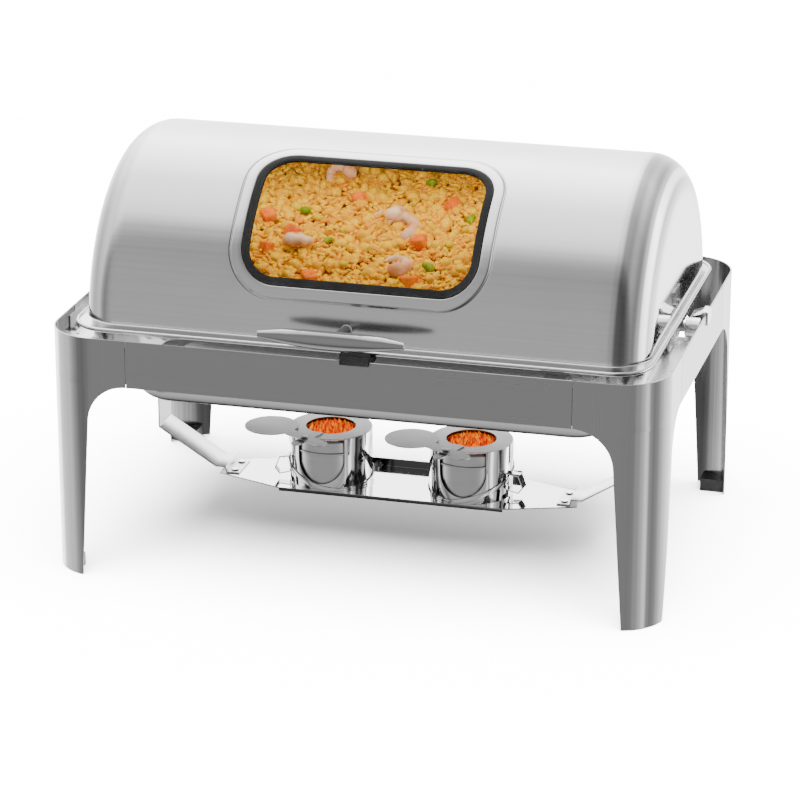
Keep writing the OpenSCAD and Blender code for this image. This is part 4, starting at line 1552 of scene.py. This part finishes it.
@dataclass
class Handle:
    """The lid's handle: a spindle-shaped bar with a flat top, on one post."""

    bench: Bench
    axis: Vector
    x: float = -10 * MM
    reach: float = 234 * MM
    angle: float = math.radians(8.6)
    half: float = 75 * MM
    middle: float = 10.5 * MM
    tip: float = 3.5 * MM
    flat: float = 7.5 * MM
    keel: float = 10 * MM
    lid_radius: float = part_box("lid_shell")[1].z - joint_place("lid_roll").z

    def at(self, x: float, out: float, up: float) -> Vector:
        """Gives a point near the handle, out from the lid's axis and up square to that."""
        c, s = math.cos(self.angle), math.sin(self.angle)
        return self.axis + Vector((self.x + x, -out * c + up * s, out * s + up * c))

    def bar(self) -> bmesh.types.BMesh:
        """Builds the bar: round below, flat on top, and slimmer towards its ends.

        Returns:
            The mesh.
        """
        swell = self.middle - self.tip
        arc = (self.half ** 2 + swell ** 2) / (2 * swell)
        top_steps, round_steps, along = 6, 26, 36

        def place(i: int, j: int) -> Vector:
            """Gives a point of the bar: across the flat top first, then round below.

            Args:
                i: Number of the point round the bar.
                j: Number of the ring along it.

            Returns:
                The point.
            """
            x = self.half * math.sin(math.pi / 2 * (2 * j / along - 1))
            r = self.middle - arc + math.sqrt(arc ** 2 - x ** 2)
            start = math.asin(min(1.0, self.flat / r))
            if i <= top_steps:
                out = mix(math.cos(start), -math.cos(start), i / top_steps) * r
                up = min(self.flat, r)
            else:
                turn = mix(math.pi - start, math.tau + start, (i - top_steps) / round_steps)
                out, up = r * math.cos(turn), max(r * math.sin(turn), -self.keel)
            return self.at(x, self.reach + out, up)

        bm = bmesh.new()
        patch(bm, top_steps + round_steps, along, place)
        bmesh.ops.remove_doubles(bm, verts=bm.verts, dist=WELD)
        caps = bmesh.ops.holes_fill(bm, edges=[e for e in bm.edges if e.is_boundary])["faces"]
        weld(bm)
        for depth, inset in ((0.0, 0.9 * MM), (-0.7 * MM, 0.5 * MM), (0.5 * MM, 0.8 * MM)):
            bmesh.ops.inset_region(bm, faces=caps, thickness=inset, depth=depth, use_even_offset=True)
        bm.normal_update()
        # Faces that look back take the second material, the painted shade.
        for face in bm.faces:
            face.material_index = int(face.normal.y > 0.15 and face.normal.z < 0.9)
        return bm

    def post(self) -> bmesh.types.BMesh:
        """Builds the post with its round base on the lid.

        Returns:
            The mesh.
        """
        out = self.at(0, 1, 0) - self.at(0, 0, 0)
        outline = ((6.0, -2.0), (6.0, 0.5), (5.6, 1.0), (4.9, 1.6), (4.6, 3.0), (4.6, 50.5))
        profile = [(r * MM, self.lid_radius + d * MM) for r, d in outline]
        bm = bmesh.new()
        turned(bm, profile, self.at(0, 0, 0), out.normalized(), 32)
        weld(bm, self.at(0, self.lid_radius + 10 * MM, 0))
        return bm

    def build(self) -> None:
        """Makes the bar and the post, and dresses the screw."""
        hand_over = self.bench.hand_over
        bar = hand_over(self.bar(), "handle_bar", "lid", "handle_steel", HANDLE_STEEL,
                        ("lid_handle",), rounding=0.5 * MM)
        bar.data.materials.append(self.bench.material(HANDLE_REAR_SHADE))
        hand_over(self.post(), "handle_post_turned", "lid", "handle_steel", POST_STEEL, ("handle_post",))
        self.bench.dress("handle_screw", FASTENER_STEEL)


@dataclass
class Hinges:
    """The lid's two hinges: an ear with a pin on the lid, and a barrel, plate and clip on the stand."""

    bench: Bench

    def build(self) -> None:
        """Makes the pieces of both hinges."""
        for side in ("left", "right"):
            self.bench.round_off(f"{side}_lid_ear", "lid", "hinge_steel", HINGE_STEEL, 0.4 * MM)
            self.bench.dress(f"{side}_hinge_pin", FASTENER_STEEL)
            self.bench.round_off(f"{side}_hinge_barrel", "stand", "hinge_steel", HINGE_STEEL, 1.2 * MM)
            self.bench.round_off(f"{side}_hinge_bracket", "stand", "dark_bracket", DARK_BRACKET, 0.5 * MM)
            self.bench.round_off(f"{side}_band_clip", "stand", "hinge_steel", HINGE_STEEL, 0.3 * MM)


# ---------------------------------------------------------------- fuel tray and burners


@dataclass
class FuelTray:
    """The tray under the water pan, with the two bent straps that carry it."""

    bench: Bench

    def build(self) -> None:
        """Makes the tray, its straps and their rivets."""
        self.bench.round_off("fuel_tray", "stand", "tray_steel", TRAY_STEEL, 0.3 * MM)
        for side in ("left", "right"):
            self.bench.round_off(f"{side}_tray_strap", "stand", "tray_steel", STRAP_STEEL, 0.35 * MM)
        self.bench.round_off("strap_rivets", "stand", "fastener_steel", TRAY_STEEL, 0.5 * MM)


@dataclass
class Burner:
    """A fuel cup with its can, gel, flame, ring plate and damper."""

    bench: Bench
    side: str
    seed: int = 3
    can_radius: float = 43.2 * MM
    seam: float = 39 * MM
    seam_roll: float = 1.4 * MM
    mouth: float = 29 * MM
    ring_hole: float = 26.6 * MM
    licks: int = 90
    flame_drop: float = 0.4 * MM

    def can(self) -> bmesh.types.BMesh:
        """Builds the fuel can: a tin with a rolled seam round its shoulder and an open mouth.

        Returns:
            The mesh.
        """
        low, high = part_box(f"{self.side}_fuel_can")
        centre = Vector(((low.x + high.x) / 2, (low.y + high.y) / 2, low.z))
        top, r = high.z - low.z, self.can_radius
        roll = [
            (r - self.seam_roll + self.seam_roll * math.cos(a), self.seam + self.seam_roll * math.sin(a))
            for a in spread(-math.pi / 2, math.pi / 2, 6)
        ]
        shoulder = [
            (r - 4.5 * MM + 3 * MM * math.cos(a), top - 3 * MM + 3 * MM * math.sin(a))
            for a in spread(0, math.pi / 2, 5)
        ]
        profile = [
            (0.0, 0.0), (r - 3 * MM, 0.0), (r - 1.4 * MM, 1.6 * MM),
            (r - 1.4 * MM, self.seam - self.seam_roll),
            *roll[1:], (r - 1.5 * MM, self.seam + self.seam_roll + 0.2 * MM), *shoulder,
            (self.mouth + 1.2 * MM, top), (self.mouth, top - 0.8 * MM), (self.mouth, top - 2.6 * MM),
        ]
        bm = bmesh.new()
        turned(bm, profile, centre, steps=72)
        weld(bm, centre + Vector((0, 0, top / 2)))
        return bm

    def gel(self) -> bmesh.types.BMesh:
        """Builds the glowing gel with its slightly domed top.

        Returns:
            The mesh.
        """
        low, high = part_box(f"{self.side}_fuel_gel")
        centre = Vector(((low.x + high.x) / 2, (low.y + high.y) / 2, low.z))
        r, top = (high.x - low.x) / 2, high.z - low.z
        dome = [(r, top - 1.5 * MM), (r - 2 * MM, top - 0.4 * MM), (r / 2, top), (0, top)]
        bm = bmesh.new()
        turned(bm, [(0, 0), (r, 0), *dome], centre)
        weld(bm)
        return bm

    def lick(self) -> bmesh.types.BMesh:
        """Builds one tongue of flame, 1 unit high, round below and drawn to a tip.

        Returns:
            The mesh.
        """
        bm = bmesh.new()
        bmesh.ops.create_uvsphere(bm, u_segments=8, v_segments=7, radius=0.5)
        for vert in bm.verts:
            height = vert.co.z + 0.5
            narrow = (1 - height) ** 0.75 + 0.05
            vert.co.x = vert.co.x * narrow + 0.06 * math.sin(7 * height)
            vert.co.y *= narrow
        soften(bm, 180.0)
        return bm

    def flame(self) -> bmesh.types.BMesh:
        """Fills the ring's hole with tongues of flame.

        Returns:
            The mesh.
        """
        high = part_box(f"{self.side}_ring_plate")[1]
        can_low, can_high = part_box(f"{self.side}_fuel_can")
        top = high.z - self.flame_drop
        centre = Vector(((can_low.x + can_high.x) / 2, (can_low.y + can_high.y) / 2, top))
        draw = random.Random(self.seed)
        places = []
        for i in range(self.licks):
            away = (self.ring_hole - 3.5 * MM) * math.sqrt((i + 0.5) / self.licks)
            turn = i * math.pi * (3 - math.sqrt(5))
            height = draw.uniform(12, 19) * MM
            width = draw.uniform(6, 10) * MM
            spot = centre + Vector((away * math.cos(turn), away * math.sin(turn), -height / 2))
            spin = Matrix.Rotation(draw.uniform(0, math.tau), 4, "Z")
            places.append(Matrix.Translation(spot) @ spin @ Matrix.Diagonal((width, width, height, 1.0)))
        return copies(self.lick(), places)

    def build(self) -> None:
        """Makes the burner's pieces."""
        body, side, bench = f"{self.side}_burner", self.side, self.bench
        bench.round_off(f"{side}_fuel_cup", body, "cup_steel", CUP_STEEL, 0.25 * MM)
        bench.round_off(f"{side}_cup_handle", body, "cup_steel", CUP_STEEL, 0.3 * MM)
        bench.hand_over(self.can(), f"{side}_can_tin", body, "can_tin", CAN_TIN,
                        (f"{side}_fuel_can",), crease=40.0)
        bench.hand_over(self.gel(), f"{side}_gel", body, "fuel_gel", GEL_GLOW, (f"{side}_fuel_gel",))
        bench.hand_over(self.flame(), f"{side}_flame", body, "fuel_gel", FLAME, crease=180.0)
        bench.round_off(f"{side}_ring_plate", body, "plate_steel", PLATE_STEEL, 0.2 * MM)
        bench.round_off(f"{side}_damper_rivet", body, "fastener_steel", FASTENER_STEEL, 0.4 * MM)
        bench.round_off(f"{side}_damper", f"{side}_damper_body", "plate_steel", PLATE_STEEL, 0.2 * MM)


# ---------------------------------------------------------------- studio


@dataclass
class Studio:
    """A pale floor, soft light and the camera."""

    floor_radius: float = 16.0
    azimuth: float = math.radians(14.91)
    elevation: float = math.radians(19.88)
    distance: float = 3.699
    target_x: float = -1 * MM
    target_z: float = 143.4 * MM
    lens: float = 157.63
    daylight: float = 84.0
    dark_side: tuple[float, float, float] = (-0.14, -0.99, 0.0)
    sky: tuple[tuple[float, float], ...] = (
        (0, 0.58), (38, 0.52), (48, 0.47), (58, 0.9), (66, 2.0), (75, 2.4), (95, 3.0), (132, 6.3), (165, 4.0),
        (180, 4.0),
    )
    ground: float = 0.4
    horizon: tuple[float, float] = (-0.75, -0.46)

    def floor(self) -> None:
        """Lays the floor, plain and pale."""
        shader = Shader("floor_pale")
        tone = shader.noise(shader.place(), 0.6)
        shader.wire(shader.ramp(tone, [(0.3, (0.54, 0.54, 0.54)), (0.7, (0.56, 0.56, 0.56))]), "Base Color")
        shader.fix(Roughness=0.85, Specular_IOR_Level=0.1)
        bm = bmesh.new()
        bmesh.ops.create_circle(bm, cap_ends=True, segments=64, radius=self.floor_radius)
        mesh = bpy.data.meshes.new("floor")
        bm.to_mesh(mesh)
        bm.free()
        mesh.materials.append(shader.material)
        floor = bpy.data.objects.new("floor", mesh)
        bpy.context.scene.collection.objects.link(floor)
        floor.visible_glossy = False

    def heaven(self) -> None:
        """Makes the surroundings: bright above and behind, and darker in front."""
        world = bpy.data.worlds.new("surroundings")
        bpy.context.scene.world = world
        world.use_nodes = True
        tree = world.node_tree
        light = tree.nodes["Background"]
        light.inputs["Color"].default_value = (1.0, 1.0, 1.0, 1.0)
        place = tree.nodes.new("ShaderNodeTexCoord")
        facing = tree.nodes.new("ShaderNodeVectorMath")
        facing.operation = "DOT_PRODUCT"
        facing.inputs[1].default_value = self.dark_side
        share = tree.nodes.new("ShaderNodeMapRange")
        set_range(share, (-1.0, 1.0), (0.0, 1.0))
        ramp = tree.nodes.new("ShaderNodeValToRGB")
        brightest = max(level for _, level in self.sky)
        stops = [(math.cos(math.radians(away)), level / brightest) for away, level in reversed(self.sky)]
        fill_ramp(ramp, [((height + 1) / 2, (level,) * 3) for height, level in stops])
        apart = tree.nodes.new("ShaderNodeSeparateXYZ")
        fade = tree.nodes.new("ShaderNodeMapRange")
        set_range(fade, self.horizon, (self.ground * brightest, brightest))
        gain = tree.nodes.new("ShaderNodeMath")
        gain.operation = "MULTIPLY"
        tree.links.new(place.outputs["Generated"], apart.inputs[0])
        tree.links.new(apart.outputs["Z"], fade.inputs["Value"])
        tree.links.new(fade.outputs["Result"], gain.inputs[1])
        tree.links.new(place.outputs["Generated"], facing.inputs[0])
        tree.links.new(facing.outputs["Value"], share.inputs["Value"])
        tree.links.new(share.outputs["Result"], ramp.inputs["Fac"])
        tree.links.new(ramp.outputs["Color"], gain.inputs[0])
        tree.links.new(gain.outputs["Value"], light.inputs["Strength"])

    def sun(self) -> None:
        """Adds the wide soft light that falls on the floor."""
        data = bpy.data.lights.new("daylight", "SUN")
        data.energy, data.angle = self.daylight, math.radians(62)
        sun = bpy.data.objects.new("daylight", data)
        sun.rotation_euler = (math.radians(12), math.radians(4), 0.0)
        lit = bpy.data.collections.new("lit_by_daylight")
        lit.objects.link(bpy.data.objects["floor"])
        sun.light_linking.receiver_collection = lit
        bpy.context.scene.collection.objects.link(sun)

    def lamp(
        self, name: str, place: Vector, target: Vector, size: tuple[float, float], power: float
    ) -> None:
        """Hangs a soft oblong lamp that doesn't show in reflections.

        Args:
            name: Name of the lamp.
            place: Where it hangs.
            target: What it points at.
            size: Its length along X and its width.
            power: Its power in watts.
        """
        data = bpy.data.lights.new(name, "AREA")
        data.shape, data.energy = "RECTANGLE", power
        data.size, data.size_y = size
        lamp = bpy.data.objects.new(name, data)
        lamp.location = place
        lamp.rotation_euler = (target - place).to_track_quat("-Z", "Y").to_euler()
        lamp.visible_camera = False
        lamp.visible_glossy = False
        bpy.context.scene.collection.objects.link(lamp)

    def camera(self, centre: Vector) -> None:
        """Sets the camera up, looking at a point near the object's middle.

        Args:
            centre: Middle of the stand at floor level.
        """
        data = bpy.data.cameras.new("camera")
        data.lens, data.sensor_width = self.lens, 36.0
        target = Vector((self.target_x, centre.y, self.target_z))
        back = Vector((
            math.sin(self.azimuth) * math.cos(self.elevation),
            -math.cos(self.azimuth) * math.cos(self.elevation),
            math.sin(self.elevation),
        ))
        camera = bpy.data.objects.new("camera", data)
        camera.location = target + back * self.distance
        camera.rotation_euler = (-back).to_track_quat("-Z", "Y").to_euler()
        bpy.context.scene.collection.objects.link(camera)
        bpy.context.scene.camera = camera

    def build(self, centre: Vector) -> None:
        """Sets everything up round the object.

        Args:
            centre: Middle of the stand at floor level.
        """
        self.floor()
        self.heaven()
        self.sun()
        self.lamp("inside_fill", Vector((0, 0, 0.4)), Vector((0, 0, 0.2)), (0.44, 0.11), 0.6)
        self.camera(centre)


def main() -> None:
    """Builds the chafer and its studio."""
    logging.basicConfig(level=logging.INFO, format="%(name)s %(message)s")
    bench = Bench()
    axis = joint_place("lid_roll")
    centre = Vector((0, axis.y, 0))
    Studio().build(centre)
    Stand(bench, centre).build()
    Carrier(bench).build()
    Pan(bench, centre, "water_pan", 257 * MM, 154 * MM, 46 * MM, 30 * MM, 34 * MM).build()
    Pan(bench, centre, "food_pan", 250 * MM, 148 * MM, 44 * MM, 20 * MM, 50 * MM).build()
    Food(bench, centre).build()
    Lid(bench, axis).build()
    Handle(bench, axis).build()
    Hinges(bench).build()
    FuelTray(bench).build()
    for side in ("left", "right"):
        Burner(bench, side).build()


if __name__ == "__main__":
    main()
